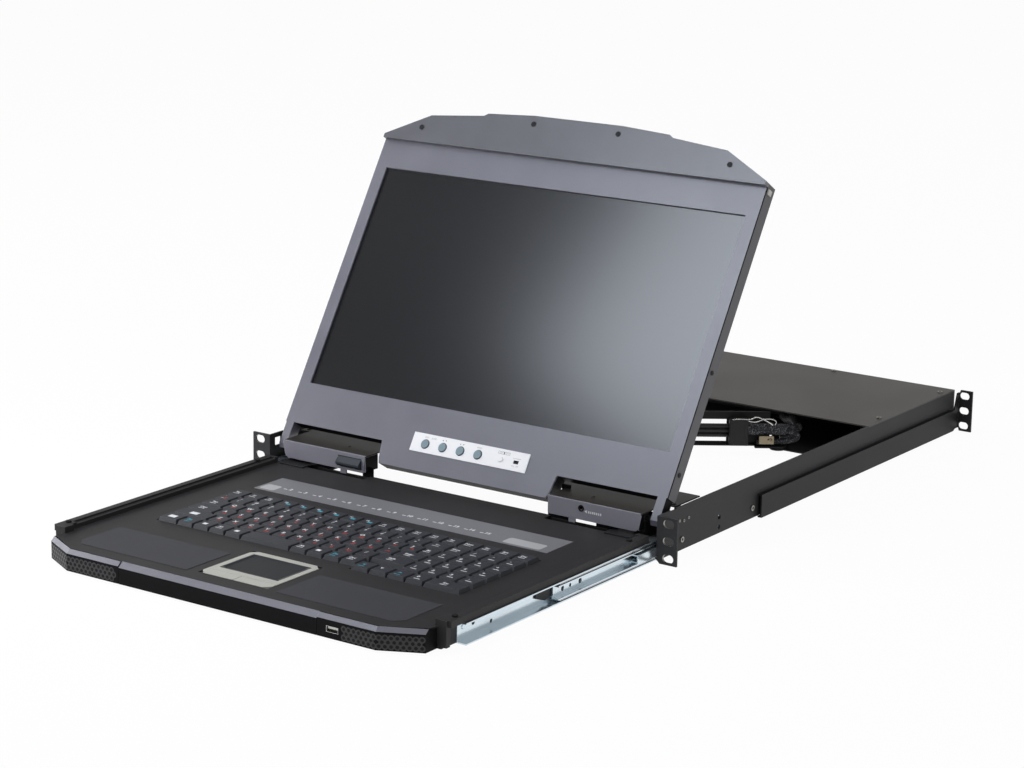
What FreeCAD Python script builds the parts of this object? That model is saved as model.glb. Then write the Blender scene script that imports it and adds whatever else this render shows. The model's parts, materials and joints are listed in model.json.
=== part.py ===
import FreeCAD, Part
import math
import os
import re
import Sketcher

# Rack console drawer, one rack unit high.
# Frame: X to the right as seen from the front, Y back into the rack, Z up.
# Y = 0 is the front face of the front ears, X = 0 the middle, Z = 0 the bottom of the rack unit.
# Shown with the drawer pulled out and the display tipped up. All sizes are in millimetres.

os.makedirs("parts", exist_ok=True)
doc = FreeCAD.newDocument("console_drawer")
sheet = doc.addObject("Spreadsheet::Sheet", "sizes")

SIZES = {
    # chassis sides and ears
    "side_outer": 222.0, "side_sheet": 1.5, "side_bottom": 3.0, "unit_top": 44.0,
    "ear_outer": 241.3, "ear_sheet": 2.0, "ear_bottom": 0.5, "ear_chamfer": 3.5,
    "hole_column": 232.55, "hole_low": 6.35, "hole_pitch": 15.875,
    "slot_long": 11.0, "slot_high": 7.6,
    "rear_plane": 587.35, "cover_front": 392.5, "cover_sheet": 1.2,
    "bracket_sheet": 1.5, "bracket_front": 175.0, "bracket_bottom": 1.6, "bracket_top": 23.8,
    "bracket_gap": 0.3, "bracket_depth": 4.1,
    "bay_floor_side": 100.0, "anchor_margin": 20.0, "module_long": 72.35, "anchor_gap": 15.0,
    "board_left": -135.0, "board_right": 200.0, "board_sheet": 1.6, "board_low": 9.0,
    "supply_left": -212.0, "supply_right": -142.0, "supply_tall": 28.0,
    "screw_head": 2.7, "screw_tall": 0.9, "rivet_head": 1.3,
    # ball slides
    "slide_sheet": 1.2, "slide_middle_height": 10.95, "drawer_rail_half": 9.3,
    "middle_rail_half": 6.3, "cabinet_rail_half": 3.7, "tray_half": 208.0,
    "drawer_rail_front": -282.0, "drawer_rail_length": 362.0,
    "middle_rail_front": -150.0, "middle_rail_length": 365.0,
    "cabinet_rail_front": -30.0, "cabinet_rail_length": 370.0,
    "ball_play": 0.2,
    # keyboard tray
    "tray_bottom": 1.8, "tray_sheet": 1.2, "tray_top": 20.9, "tray_rear": 8.6,
    "tray_notch": -4.0, "wing_inner": 188.0, "bezel_front": -335.5, "bezel_half": 168.1, "bezel_side": 204.0,
    "bezel_side_front": -317.2, "bezel_back": -322.0, "bevel_middle": 4.6, "bevel_corner": 3.5,
    "lip_depth": 4.9,
    "seam": 108.0, "seam_gap": 0.6,
    "side_rail_inner": 205.0, "side_rail_outer": 216.5, "side_rail_top": 26.4,
    "side_rail_front": -300.0, "side_rail_rear": -6.5,
    # keyboard
    "keys_left": -167.0, "keys_front": -221.0, "key_pitch": 18.4, "key_row": 18.6,
    "number_left": 95.7, "number_front": -229.0, "number_pitch": 19.1, "number_row": 19.9,
    "key_height": 4.6, "key_foot": 19.4, "key_gap": 0.8, "key_taper": 3.0, "key_travel": 2.0,
    "opening_edge": 0.5,
    "label_half": 165.0, "label_front": -90.0, "label_rear": -48.0,
    # touchpad
    "pad_half": 38.0, "pad_front": -313.0, "pad_rear": -240.0, "pad_screen_half": 32.0,
    "pad_screen_front": -292.7, "pad_screen_rear": -247.0, "pad_button_seam": 0.3,
    "pad_button_rear": -301.0,
    "palm_inner": 49.0, "palm_outer": 177.0, "palm_front": -315.5, "palm_rear": -258.0,
    # hinge covers and the display hinge
    "hinge_depth": 15.6, "hinge_height": 34.0, "hinge_pin": 3.0, "pin_clearance": 0.05,
    "cover_inner": 104.0, "cover_outer": 204.0, "cover_low": 25.2, "cover_high": 42.0,
    "plate_rear": 83.0, "plate_half": 214.0, "plate_notch": 40.0,
    "jack_side": 140.3, "jack_height": 36.0, "jack_radius": 4.0, "jack_hole": 1.8, "jack_ring": 2.6,
    "barrel_radius": 5.0, "barrel_long": 50.0, "barrel_inner": 150.0,
    "logic_half": 120.0, "logic_front": -95.0, "logic_rear": -26.0, "logic_low": 7.0,
    # display, measured along the panel from the hinge axis
    "display_tilt": 31.39, "display_half": 217.5, "display_face": 6.0, "display_back": 9.5,
    "display_skin": 2.0, "display_wall": 1.5,
    "screen_half": 204.9, "screen_low": 62.0, "screen_high": 292.4,
    "corner_low": 20.3, "middle_low": -2.0, "middle_half": 100.0,
    "arm_inner": 207.5, "arm_outer": 216.5, "arm_low": -6.0,
    "cap_low": 322.0, "cap_shoulder": 326.0, "cap_corner": 350.6, "cap_corner_half": 169.0,
    "cap_step_low": 356.5, "cap_step_high": 359.3, "cap_crown": 363.6, "cap_rise": 5.0,
    "plate_osd_half": 66.0, "plate_osd_low": 16.3, "plate_osd_high": 34.8,
    "button_line": 24.7, "button_radius": 4.0, "button_first": -50.4, "button_pitch": 20.17,
    "power_side": 35.8, "power_radius": 2.45, "switch_side": 53.2, "switch_half": 2.8, "switch_tall": 1.6,
    "control_gap": 0.15, "cap_screw_side": 175.7, "cap_screw_line": 337.0,
    "crown_screw_side": 48.2, "crown_screw_line": 353.8, "cap_screw_head": 2.6,
    # cable arm
    "arm_foot_side": 151.6, "arm_foot_depth": 187.3, "arm_long": 340.0,
    "arm_tall": 35.0, "arm_foot_tall": 31.0, "arm_step": 34.0, "arm_base": 7.0,
    "arm_sheet": 1.5, "arm_wide": 14.0, "arm_pin": 3.0,
    "window_first": 30.0, "window_long": 78.0, "window_pitch": 90.0, "window_low": 3.8, "window_margin": 8.1,
    "arm_edge": 5.0, "arm_end": 24.0, "arm_half_disc": 8.0,
    "clamp_start": 290.0, "clamp_end": 309.0, "clamp_low": 2.0, "clamp_high": 29.0, "clamp_front": 6.5,
    "sleeve_radius": 4.4, "sleeve_side": -1.0, "sleeve_rest": 0.3,
    "bundle_radius": 6.0, "bundle_height": 18.4, "bundle_reach": 11.0,
    "strand_radius": 3.3, "strand_height": 5.2, "strand_turn": 5.4, "strand_drop": 1.8, "strand_end": 318.0,
    "tube_radius": 2.3, "tube_pitch": 4.8, "tube_first": 11.2, "tube_gap": 0.1, "tube_inset": 0.5,
    "anchor_side": 65.0, "link_long": 124.8, "link_wide": 16.0,
    "link_sheet": 1.4, "link_lift": 0.4,
}

# the module and the arm's anchor follow the rear plane, and the two links of the cable arm make a
# triangle with the line between their fixed ends
DEPENDENT = {
    "module_front": "rear_plane - module_long",
    "anchor_depth": "module_front - anchor_gap",
    "reach_side": "anchor_side + arm_foot_side",
    "reach_depth": "anchor_depth - arm_foot_depth",
    "reach": "sqrt(reach_side ^ 2 + reach_depth ^ 2)",
    "reach_turn": "atan(reach_depth / reach_side)",
    "arm_turn": "reach_turn - acos((arm_long ^ 2 + reach ^ 2 - link_long ^ 2) / (2 * arm_long * reach))",
    "link_turn": "reach_turn + acos((link_long ^ 2 + reach ^ 2 - arm_long ^ 2)"
                 " / (2 * link_long * reach)) - 180 deg",
}

for row, (alias, value) in enumerate(list(SIZES.items()) + list(DEPENDENT.items()), start=1):
    sheet.set("A%d" % row, alias)
    sheet.set("B%d" % row, str(value) if alias in SIZES else "=" + value)
    sheet.setAlias("B%d" % row, alias)
doc.recompute()

WORD = re.compile(r"[a-z][a-z_]*")


def link(text):
    """Turn size names in a formula into references to the sheet."""
    return WORD.sub(lambda m: "sizes." + m.group(0) if m.group(0) in SIZES or m.group(0) in DEPENDENT
                    else m.group(0), str(text))


def bind(obj, prop, text):
    obj.setExpression(prop, link(text))


def place(obj, x="0", y="0", z="0"):
    bind(obj, ".Placement.Base.x", x)
    bind(obj, ".Placement.Base.y", y)
    bind(obj, ".Placement.Base.z", z)
    return obj


def box(name, x, y, z, dx, dy, dz):
    obj = doc.addObject("Part::Box", name)
    bind(obj, "Length", dx)
    bind(obj, "Width", dy)
    bind(obj, "Height", dz)
    return place(obj, x, y, z)


def rod(name, x, y, z, radius, length, axis="Z"):
    """A cylinder that starts at the point and runs along the positive axis."""
    obj = doc.addObject("Part::Cylinder", name)
    bind(obj, "Radius", radius)
    bind(obj, "Height", length)
    turns = {"X": (FreeCAD.Vector(0, 1, 0), 90), "Y": (FreeCAD.Vector(1, 0, 0), -90)}
    if axis in turns:
        obj.Placement = FreeCAD.Placement(FreeCAD.Vector(), FreeCAD.Rotation(*turns[axis]))
    return place(obj, x, y, z)


def ball(name, x, y, z, radius):
    obj = doc.addObject("Part::Sphere", name)
    bind(obj, "Radius", radius)
    return place(obj, x, y, z)


def fuse(name, shapes):
    obj = doc.addObject("Part::MultiFuse", name)
    obj.Shapes = shapes
    obj.Refine = True
    return obj


def cut(name, base, tools):
    obj = doc.addObject("Part::Cut", name)
    obj.Base = base
    obj.Tool = tools[0] if len(tools) == 1 else fuse(name + "_tools", tools)
    return obj


def group(name, shapes):
    obj = doc.addObject("Part::Compound", name)
    obj.Links = shapes
    return obj


def rect(left, right, low, high):
    return [(left, low), (right, low), (right, high), (left, high)]


PLANES = {"XY": ("XY_Plane", 1), "XZ": ("XZ_Plane", -1), "YZ": ("YZ_Plane", 1)}


class Solid:
    """A Part Design body built from sketches padded and pocketed along +X, +Y or +Z."""

    def __init__(self, name):
        self.name = name
        self.steps = 0
        self.body = doc.addObject("PartDesign::Body", name)
        self.body.AllowCompound = True

    def sketch(self, plane, start):
        role, sense = PLANES[plane]
        self.steps += 1
        sketch = self.body.newObject("Sketcher::SketchObject", "%s_sketch%d" % (self.name, self.steps))
        face = [f for f in self.body.Origin.OriginFeatures if f.Role == role][0]
        sketch.AttachmentSupport = [(face, "")]
        sketch.MapMode = "FlatFace"
        bind(sketch, ".AttachmentOffset.Base.z", "%d * (%s)" % (sense, start))
        return sketch

    def anchor(self, sketch, geometry, point, across, up):
        for kind, text in (("DistanceX", across), ("DistanceY", up)):
            value = float(sheet.evalExpression(link(text)))
            sketch.addConstraint(Sketcher.Constraint(kind, -1, 1, geometry, point, value))
            bind(sketch, "Constraints[%d]" % (sketch.ConstraintCount - 1), text)

    def outline(self, sketch, points):
        values = [FreeCAD.Vector(float(sheet.evalExpression(link(a))),
                                 float(sheet.evalExpression(link(b))), 0) for a, b in points]
        first = sketch.GeometryCount
        count = len(points)
        for i in range(count):
            sketch.addGeometry(Part.LineSegment(values[i], values[(i + 1) % count]), False)
        for i in range(count):
            nxt = first + (i + 1) % count
            sketch.addConstraint(Sketcher.Constraint("Coincident", first + i, 2, nxt, 1))
        for i, (across, up) in enumerate(points):
            self.anchor(sketch, first + i, 1, across, up)

    def circle(self, sketch, across, up, radius):
        centre = FreeCAD.Vector(float(sheet.evalExpression(link(across))),
                                float(sheet.evalExpression(link(up))), 0)
        size = float(sheet.evalExpression(link(radius)))
        index = sketch.addGeometry(Part.Circle(centre, FreeCAD.Vector(0, 0, 1), size), False)
        self.anchor(sketch, index, 3, across, up)
        sketch.addConstraint(Sketcher.Constraint("Radius", index, size))
        bind(sketch, "Constraints[%d]" % (sketch.ConstraintCount - 1), radius)

    def draw(self, plane, start, shapes):
        sketch = self.sketch(plane, start)
        for shape in shapes:
            if isinstance(shape, tuple):
                self.circle(sketch, *shape)
            else:
                self.outline(sketch, shape)
        return sketch

    def pad(self, plane, start, length, *shapes):
        sketch = self.draw(plane, start, shapes)
        feature = self.body.newObject("PartDesign::Pad", "%s_pad%d" % (self.name, self.steps))
        feature.Profile = sketch
        bind(feature, "Length", length)
        feature.Reversed = PLANES[plane][1] < 0
        self.body.Tip = feature
        return self

    def pocket(self, plane, start, length, *shapes):
        sketch = self.draw(plane, start, shapes)
        feature = self.body.newObject("PartDesign::Pocket", "%s_pocket%d" % (self.name, self.steps))
        feature.Profile = sketch
        bind(feature, "Length", length)
        feature.Reversed = PLANES[plane][1] > 0
        self.body.Tip = feature
        return self


def mirrored(side, near, far):
    """Start and length of a span from near to far on one side of the middle."""
    start = near if side > 0 else "-(%s)" % far
    return start, "(%s) - (%s)" % (far, near)


def slot_tools(name, side, depth, length, count=3):
    """Slots for rack screws: a box and two round ends for each hole of the column."""
    tools = []
    for i in range(count):
        high = "hole_low + %d * hole_pitch" % i
        centre = "%d * hole_column" % side
        half = "(slot_long - slot_high) / 2"
        tools.append(box("%s_slot%d" % (name, i), "%s - %s" % (centre, half), depth,
                         "%s - slot_high / 2" % high, "slot_long - slot_high", length, "slot_high"))
        for end in (-1, 1):
            tools.append(rod("%s_end%d%d" % (name, i, end > 0), "%s + %d * %s" % (centre, end, half),
                             depth, high, "slot_high / 2", length, "Y"))
    return tools


NODES = []


def node(obj, label):
    obj.Label = label
    NODES.append(obj)
    return obj


# ---------------------------------------------------------------- side panels with the front ears
side_inner = "side_outer - side_sheet"
for side, word in ((-1, "left"), (1, "right")):
    panel = Solid("panel_%s" % word)
    start, length = mirrored(side, side_inner, "side_outer")
    panel.pad("YZ", start, length,
              [("0.2", "side_bottom"), ("rear_plane - 4", "side_bottom"),
               ("rear_plane - 4", "unit_top - cover_sheet"),
               ("cover_front - 0.3", "unit_top - cover_sheet"), ("cover_front - 0.3", "unit_top"),
               ("30", "unit_top"), ("29", "unit_top - 0.8"), ("22", "unit_top - 0.8"),
               ("21", "unit_top"), ("0.2", "unit_top")])
    inner = "%d * (%s)" % (side, side_inner)
    outer = "%d * ear_outer" % side
    panel.pad("XZ", "0.01", "ear_sheet",
              [(inner, "ear_bottom + ear_chamfer"), ("%s + %d * ear_chamfer" % (inner, side), "ear_bottom"),
               (outer, "ear_bottom"), (outer, "unit_top"), (inner, "unit_top")])
    panel.pocket("YZ", start, length, ("105", "18.3", "2.4"), ("105", "8.9", "2.4"))
    if side < 0:
        panel.pocket("YZ", start, length, rect("8", "17.2", "31.6", "39.6"))
    node(cut("side_panel_%s" % word, panel.body,
             slot_tools("front_%s" % word, side, "-1", "ear_sheet + 3")), "side_panel_%s" % word)

# ---------------------------------------------------------------- adjustable rear brackets
for side, word in ((-1, "left"), (1, "right")):
    bracket = Solid("bracket_%s" % word)
    near = "side_outer + bracket_gap"
    web = near + " + bracket_depth - bracket_sheet"
    start, length = mirrored(side, web, near + " + bracket_depth")
    bracket.pad("YZ", start, length,
                [("bracket_front", "bracket_bottom"), ("rear_plane - 12", "bracket_bottom"),
                 ("rear_plane - 8", "bracket_bottom + 2"), ("rear_plane - 0.3", "bracket_bottom + 2"),
                 ("rear_plane - 0.3", "unit_top - 3"), ("rear_plane - 5", "unit_top - 3"),
                 ("rear_plane - 11", "bracket_top"), ("bracket_front", "bracket_top")])
    start, length = mirrored(side, near, web + " + 0.1")
    for low in ("bracket_bottom", "bracket_top - bracket_sheet"):
        bracket.pad("YZ", start, length,
                    rect("bracket_front", "rear_plane - 12", low, low + " + bracket_sheet"))
    inner = "%d * (%s)" % (side, web)
    outer = "%d * ear_outer" % side
    bracket.pad("XZ", "rear_plane - ear_sheet", "ear_sheet",
                [(inner, "bracket_bottom + 2"), ("%s + %d * 2" % (inner, side), "bracket_bottom + 2"),
                 ("%s + %d * 3" % (inner, side), "ear_bottom"), (outer, "ear_bottom"),
                 (outer, "unit_top"), ("%s + %d * 3" % (inner, side), "unit_top"),
                 ("%s + %d * 2" % (inner, side), "unit_top - 3"), (inner, "unit_top - 3")])
    node(cut("rear_bracket_%s" % word, bracket.body,
             slot_tools("rear_%s" % word, side, "rear_plane - 5", "ear_sheet + 8")),
         "rear_bracket_%s" % word)

# ---------------------------------------------------------------- rear housing
inner_half = "(%s)" % side_inner
base = Solid("housing_base")
base.pad("XY", "side_bottom", "cover_sheet",
         [("-%s" % inner_half, "anchor_depth - anchor_margin"),
          ("bay_floor_side", "anchor_depth - anchor_margin"),
          ("bay_floor_side", "cover_front"), (inner_half, "cover_front"),
          (inner_half, "rear_plane - 4"), ("-%s" % inner_half, "rear_plane - 4")])
base.pad("XZ", "rear_plane - 5.5", "side_sheet",
         rect("-%s" % inner_half, inner_half, "side_bottom", "unit_top - cover_sheet - 0.2"))
base.pad("XZ", "module_front", "cover_sheet",
         rect("-%s" % inner_half, inner_half, "side_bottom", "unit_top - cover_sheet - 0.2"))
base.pocket("XZ", "module_front - 1", "4", rect("36", "76", "12", "32"))
base.pocket("XZ", "rear_plane - 7", "6", rect("-200", "-172", "11", "31.2"),
            rect("-160", "-145.4", "10.2", "31.8"), rect("-20", "17", "12", "25"),
            rect("40", "77", "12", "25"), rect("100", "112.4", "11.6", "23"),
            rect("125", "137.4", "11.6", "23"))
base.pad("XY", "side_bottom + cover_sheet - 0.1", "link_lift + link_sheet + 0.2",
         ("anchor_side", "anchor_depth", "4"))
base.pad("XY", "side_bottom + cover_sheet + link_lift + link_sheet + 0.1", "0.7",
         ("anchor_side", "anchor_depth", "6.5"))
node(base.body, "rear_box_base")

lid = Solid("housing_lid")
lid.pad("XY", "unit_top - cover_sheet", "cover_sheet",
        rect("-side_outer", "side_outer", "cover_front", "rear_plane - 4"))
node(lid.body, "rear_box_cover")

board = Solid("board")
board.pad("XY", "board_low", "board_sheet",
          rect("board_left", "board_right", "module_front + 4", "rear_plane - 8"))
for left, depth, tall in (("35", "15", "9"), ("195", "20", "5"), ("255", "13", "7"), ("295", "30", "12")):
    board.pad("XY", "board_low + board_sheet - 0.1", tall,
              rect("board_left + " + left, "board_left + %s + 22" % left,
                   "module_front + " + depth, "module_front + %s + 22" % depth))
for spot in ("board_left + 10", "board_right - 10"):
    board.pad("XY", "side_bottom + cover_sheet", "board_low - side_bottom - cover_sheet + 0.2",
              (spot, "module_front + 10", "2.5"), (spot, "rear_plane - 15.4", "2.5"))
node(board.body, "switch_board")

supply = Solid("supply")
supply.pad("XY", "side_bottom + cover_sheet", "supply_tall",
           rect("supply_left", "supply_right", "module_front + 4", "rear_plane - 32"))
node(supply.body, "power_supply")

inlet_shell = box("inlet_shell", "-200", "rear_plane - 26", "11", "28", "26", "20.2")
inlet_hollow = box("inlet_hollow", "-197.4", "rear_plane - 18", "13.4", "22.8", "20", "15.4")
pins = [box("inlet_pin%d" % i, str(-187 + 7 * i - 2), "rear_plane - 18.5", "19.5", "2", "14", "4")
        for i in range(-1, 2)]
ports = [fuse("power_inlet", [cut("inlet_body", inlet_shell, [inlet_hollow])] + pins)]
for i, left in enumerate(("-19.6", "40.4")):
    shell = box("display_port%d" % i, left, "rear_plane - 20", "12.4", "36.2", "20", "12.2")
    hollow = box("display_port_hollow%d" % i, left + " + 1.4", "rear_plane - 8", "13.8", "33.4", "12", "9.4")
    ports.append(cut("display_socket%d" % i, shell, [hollow]))
for i, left in enumerate(("100.2", "125.2")):
    shell = box("data_port%d" % i, left, "rear_plane - 20", "11.8", "12", "20", "11")
    hollow = box("data_port_hollow%d" % i, left + " + 1.2", "rear_plane - 12", "13", "9.6", "14", "8.6")
    ports.append(cut("data_socket%d" % i, shell, [hollow]))
node(group("rear_connectors", ports), "rear_connectors")

rocker = Solid("rocker")
rocker.pad("YZ", "-159.3", "13.2",
           [("rear_plane - 14", "12"), ("rear_plane - 5", "10.8"), ("rear_plane - 1.5", "13"),
            ("rear_plane - 3.6", "21"), ("rear_plane - 0.6", "29"), ("rear_plane - 5", "31.2"),
            ("rear_plane - 14", "30")])
node(rocker.body, "power_switch")

cover_screws = []
for i, (x, y) in enumerate((("214.5", "564"), ("214.5", "428"), ("-214.5", "564"), ("-214.5", "428"),
                            ("82", "578"), ("-82", "578"))):
    cover_screws.append(rod("cover_screw%d" % i, x, y, "unit_top + 0.01", "screw_head", "screw_tall"))
for side in (-1, 1):
    for depth in ("40.4", "165"):
        x = "side_outer + 0.01" if side > 0 else "-side_outer - 0.01 - screw_tall"
        cover_screws.append(rod("side_screw_%d_%s" % (side > 0, depth.replace(".", "_")), x, depth,
                                "12.8", "screw_head", "screw_tall", "X"))
    for i, (y, z) in enumerate((("29", "32.4"), ("35.5", "31"), ("43", "29.6"), ("51", "30.6"))):
        x = "side_outer + 0.01" if side > 0 else "-side_outer - 0.51"
        cover_screws.append(rod("side_rivet_%d_%d" % (side > 0, i), x, y, z, "rivet_head", "0.5", "X"))
node(group("chassis_screws", cover_screws), "chassis_screws")


# ---------------------------------------------------------------- ball slides
def channel(name, side, web_in, web_out, tip, half, front, length):
    """A rail of bent sheet: an upright web with a flange along its top and bottom."""
    rail = Solid(name)
    low = "slide_middle_height - " + half
    high = "slide_middle_height + " + half
    start, thick = mirrored(side, web_in, web_out)
    rear = "%s + %s" % (front, length)
    rail.pad("YZ", start, thick, rect(front, rear, low, high))
    near, far = (web_in, tip)
    start, thick = mirrored(side, near, far)
    rail.pad("YZ", start, thick, rect(front, rear, low, low + " + slide_sheet"),
             rect(front, rear, high + " - slide_sheet", high))
    return rail


middle_rails = []
levers = []
for side, word in ((-1, "left"), (1, "right")):
    drawer_rail = channel("drawer_rail_%s" % word, side, "tray_half", "tray_half + slide_sheet",
                          "tray_half + 10.2", "drawer_rail_half", "drawer_rail_front", "drawer_rail_length")
    start, length = mirrored(side, "tray_half - 1", "tray_half + slide_sheet + 1")
    drawer_rail.pocket("YZ", start, length, ("-260", "13.6", "2.2"), ("-235", "8", "1.8"))
    start, length = mirrored(side, "tray_half + slide_sheet - 0.1", "tray_half + slide_sheet + 0.8")
    drawer_rail.pad("YZ", start, length, ("-274", "13.6", "2"))
    node(drawer_rail.body, "slide_drawer_%s" % word)

    middle_rail = channel("middle_rail_%s" % word, side, "tray_half + 3.2", "tray_half + 3.2 + slide_sheet",
                          "tray_half + 10.2", "middle_rail_half", "middle_rail_front", "middle_rail_length")
    start, length = mirrored(side, "tray_half + 2", "tray_half + 6")
    middle_rail.pocket("YZ", start, length, ("-135.5", "10.6", "2.2"), ("-124", "10.6", "1.6"),
                       ("-108.8", "10.6", "2.4"))
    middle_rails.append(middle_rail.body)

    low = "slide_middle_height - cabinet_rail_half"
    high = "slide_middle_height + cabinet_rail_half"
    rear = "cabinet_rail_front + cabinet_rail_length"
    cabinet = Solid("cabinet_rail_%s" % word)
    start, length = mirrored(side, "%s - slide_sheet" % side_inner, side_inner)
    cabinet.pad("YZ", start, length, rect("cabinet_rail_front", rear, low, high))
    start, length = mirrored(side, "tray_half + 5.6", "%s - slide_sheet + 0.1" % side_inner)
    cabinet.pad("YZ", start, length, rect("cabinet_rail_front", rear, low, low + " + slide_sheet"),
                rect("cabinet_rail_front", rear, high + " - slide_sheet", high))
    node(cabinet.body, "slide_cabinet_%s" % word)

    lever = Solid("lever_%s" % word)
    start, length = mirrored(side, "tray_half + slide_sheet + 0.3", "tray_half + slide_sheet + 1.5")
    lever.pad("YZ", start, length, [("-173", "13.5"), ("-160", "17.4"), ("-152.6", "14.5"),
                                    ("-152.6", "7"), ("-160", "6"), ("-173", "10.5")])
    levers.append(lever.body)
node(group("slide_middles", middle_rails), "slide_middles")
node(group("slide_levers", levers), "slide_levers")


def ball_rows(name, front, length, small, big, across, count):
    """Strips that carry the balls between two rails, above and below, on both sides."""
    gap = "(%s - slide_sheet - %s)" % (big, small)
    pieces = []
    for side in (-1, 1):
        for edge in (-1, 1):
            centre = "slide_middle_height + %d * (%s + %s / 2)" % (edge, small, gap)
            start, wide = mirrored(side, across, across + " + 3.6")
            tag = "%s_%d%d" % (name, side > 0, edge > 0)
            strip = box(tag + "_strip", start, front, centre + " - 0.35", wide, length, "0.7")
            beads = [ball("%s_ball%d" % (tag, i), "%d * (%s + 1.8)" % (side, across),
                          "%s + 10 + %d * 16" % (front, i), centre, "(%s - ball_play) / 2" % gap)
                     for i in range(count)]
            pieces.append(fuse(tag, [strip] + beads))
    return group(name, pieces)


node(ball_rows("outer_balls", "middle_rail_front + 3", "150", "middle_rail_half", "drawer_rail_half",
               "tray_half + 6", 9), "ball_rows_outer")
node(ball_rows("inner_balls", "cabinet_rail_front + 62", "120", "cabinet_rail_half", "middle_rail_half",
               "tray_half + 6", 7), "ball_rows_inner")

# ---------------------------------------------------------------- keyboard tray
tray = Solid("tray_pan")
wall = "tray_half - tray_sheet"
tray.pad("XY", "tray_bottom", "tray_sheet",
         [("-tray_half", "side_rail_front - 2"), ("-198.8", "side_rail_front - 2"),
          ("-bezel_half + 0.5", "bezel_back"), ("bezel_half - 0.5", "bezel_back"),
          ("198.8", "side_rail_front - 2"), ("tray_half", "side_rail_front - 2"),
          ("tray_half", "plate_rear"), ("wing_inner", "plate_rear"),
          ("wing_inner", "tray_rear"), ("-wing_inner", "tray_rear"),
          ("-wing_inner", "plate_rear"), ("-tray_half", "plate_rear")])
for left, right in (("-tray_half", "-(%s)" % wall), (wall, "tray_half")):
    tray.pad("YZ", left, "tray_sheet",
             [("side_rail_front + 3.2", "tray_bottom"), ("plate_rear", "tray_bottom"), ("plate_rear", "34"),
              ("46", "34"), ("44", "tray_top - tray_sheet - 0.1"),
              ("side_rail_front + 3.2", "tray_top - tray_sheet - 0.1")])
tray.pad("XZ", "tray_rear - tray_sheet", "tray_sheet",
         rect("-(%s) + 0.1" % wall, "%s - 0.1" % wall, "tray_bottom", "tray_top - tray_sheet - 0.1"))
for x in ("-160", "-70", "70", "160"):
    for y in ("-300", "-20"):
        tray.pad("XY", "tray_bottom", "tray_top - tray_sheet - tray_bottom", (x, y, "3"))
for x in ("-195", "195"):
    tray.pad("XY", "tray_bottom", "cover_high - tray_sheet - tray_bottom", (x, "76", "3"))
node(tray.body, "tray_base")

deck = Solid("tray_deck")
deck.pad("XY", "tray_top - tray_sheet", "tray_sheet",
         [("-side_rail_inner", "side_rail_front"), ("-side_rail_inner + 3", "bezel_side_front + 6"),
          ("-bezel_half - 2", "bezel_front + lip_depth + 0.1"),
          ("bezel_half + 2", "bezel_front + lip_depth + 0.1"),
          ("side_rail_inner - 3", "bezel_side_front + 6"), ("side_rail_inner", "side_rail_front"),
          ("side_rail_inner", "tray_notch"), ("cover_inner - 1", "tray_notch"),
          ("cover_inner - 1", "tray_rear"), ("1 - cover_inner", "tray_rear"),
          ("1 - cover_inner", "tray_notch"), ("-side_rail_inner", "tray_notch")])
deck.pad("XZ", "tray_notch - 10", "10",
         rect("-side_rail_inner", "1 - cover_inner", "tray_top - 2", "tray_top"),
         rect("cover_inner - 1", "side_rail_inner", "tray_top - 2", "tray_top"))
for side in (-1, 1):
    start, length = mirrored(side, "side_rail_inner", "side_rail_outer")
    deck.pad("YZ", start, length,
             rect("side_rail_front", "side_rail_rear", "slide_middle_height + drawer_rail_half + 0.3",
                  "side_rail_top"))
    start, length = mirrored(side, "side_rail_inner - 3", "side_rail_outer - 3.4")
    deck.pad("YZ", start, length, rect("side_rail_front - 2", "side_rail_front + 3", "3.5", "side_rail_top"))
    start, length = mirrored(side, "side_rail_inner - 3", "tray_half - 0.2")
    deck.pad("YZ", start, length, rect("side_rail_front - 2", "side_rail_front + 9",
                                       "tray_top - tray_sheet", "side_rail_top"))
    start, length = mirrored(side, "side_rail_inner - 0.1", "side_rail_inner + 5")
    deck.pocket("YZ", start, length, rect("side_rail_front + 16", "side_rail_rear - 4",
                                          "side_rail_top - 1.6", "side_rail_top + 1"))
number_right = "number_left + 4 * number_pitch"
arrow_left = "number_left - 2 * number_pitch"
keys_rear = "keys_front + 6 * key_row"


def keyboard_outline(edge):
    """The keyboard's outline, stepped where the arrow and number keys start, grown by an edge."""
    left = "keys_left - " + edge
    arrows = arrow_left + " - " + edge
    right = number_right + " + " + edge
    front = "keys_front - " + edge
    low_front = "number_front - " + edge
    rear = keys_rear + " + " + edge
    return [(left, front), (arrows, front), (arrows, low_front), (right, low_front),
            (right, rear), (left, rear)]


deck.pocket("XY", "tray_top - 3", "6", keyboard_outline("opening_edge"))
deck.pocket("XY", "tray_top - 0.5", "3", rect("-label_half", "label_half", "label_front", "label_rear"))
deck.pocket("XY", "tray_top - 3", "6", rect("-pad_half", "pad_half", "pad_front", "pad_rear"))
deck.pocket("XY", "tray_top - 0.4", "3",
            [("-palm_outer + 8", "palm_front"), ("-palm_inner", "palm_front"), ("-palm_inner", "palm_rear"),
             ("-palm_outer", "palm_rear"), ("-palm_outer", "palm_front + 8")],
            [("palm_outer - 8", "palm_front"), ("palm_outer", "palm_front + 8"), ("palm_outer", "palm_rear"),
             ("palm_inner", "palm_rear"), ("palm_inner", "palm_front")])
node(deck.body, "tray_top")

pads = Solid("palm_pads")
pads.pad("XY", "tray_top - 0.4", "0.7",
         [("-palm_outer + 8", "palm_front"), ("-palm_inner", "palm_front"), ("-palm_inner", "palm_rear"),
          ("-palm_outer", "palm_rear"), ("-palm_outer", "palm_front + 8")],
         [("palm_outer - 8", "palm_front"), ("palm_outer", "palm_front + 8"), ("palm_outer", "palm_rear"),
          ("palm_inner", "palm_rear"), ("palm_inner", "palm_front")])
node(pads.body, "palm_rests")

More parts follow.
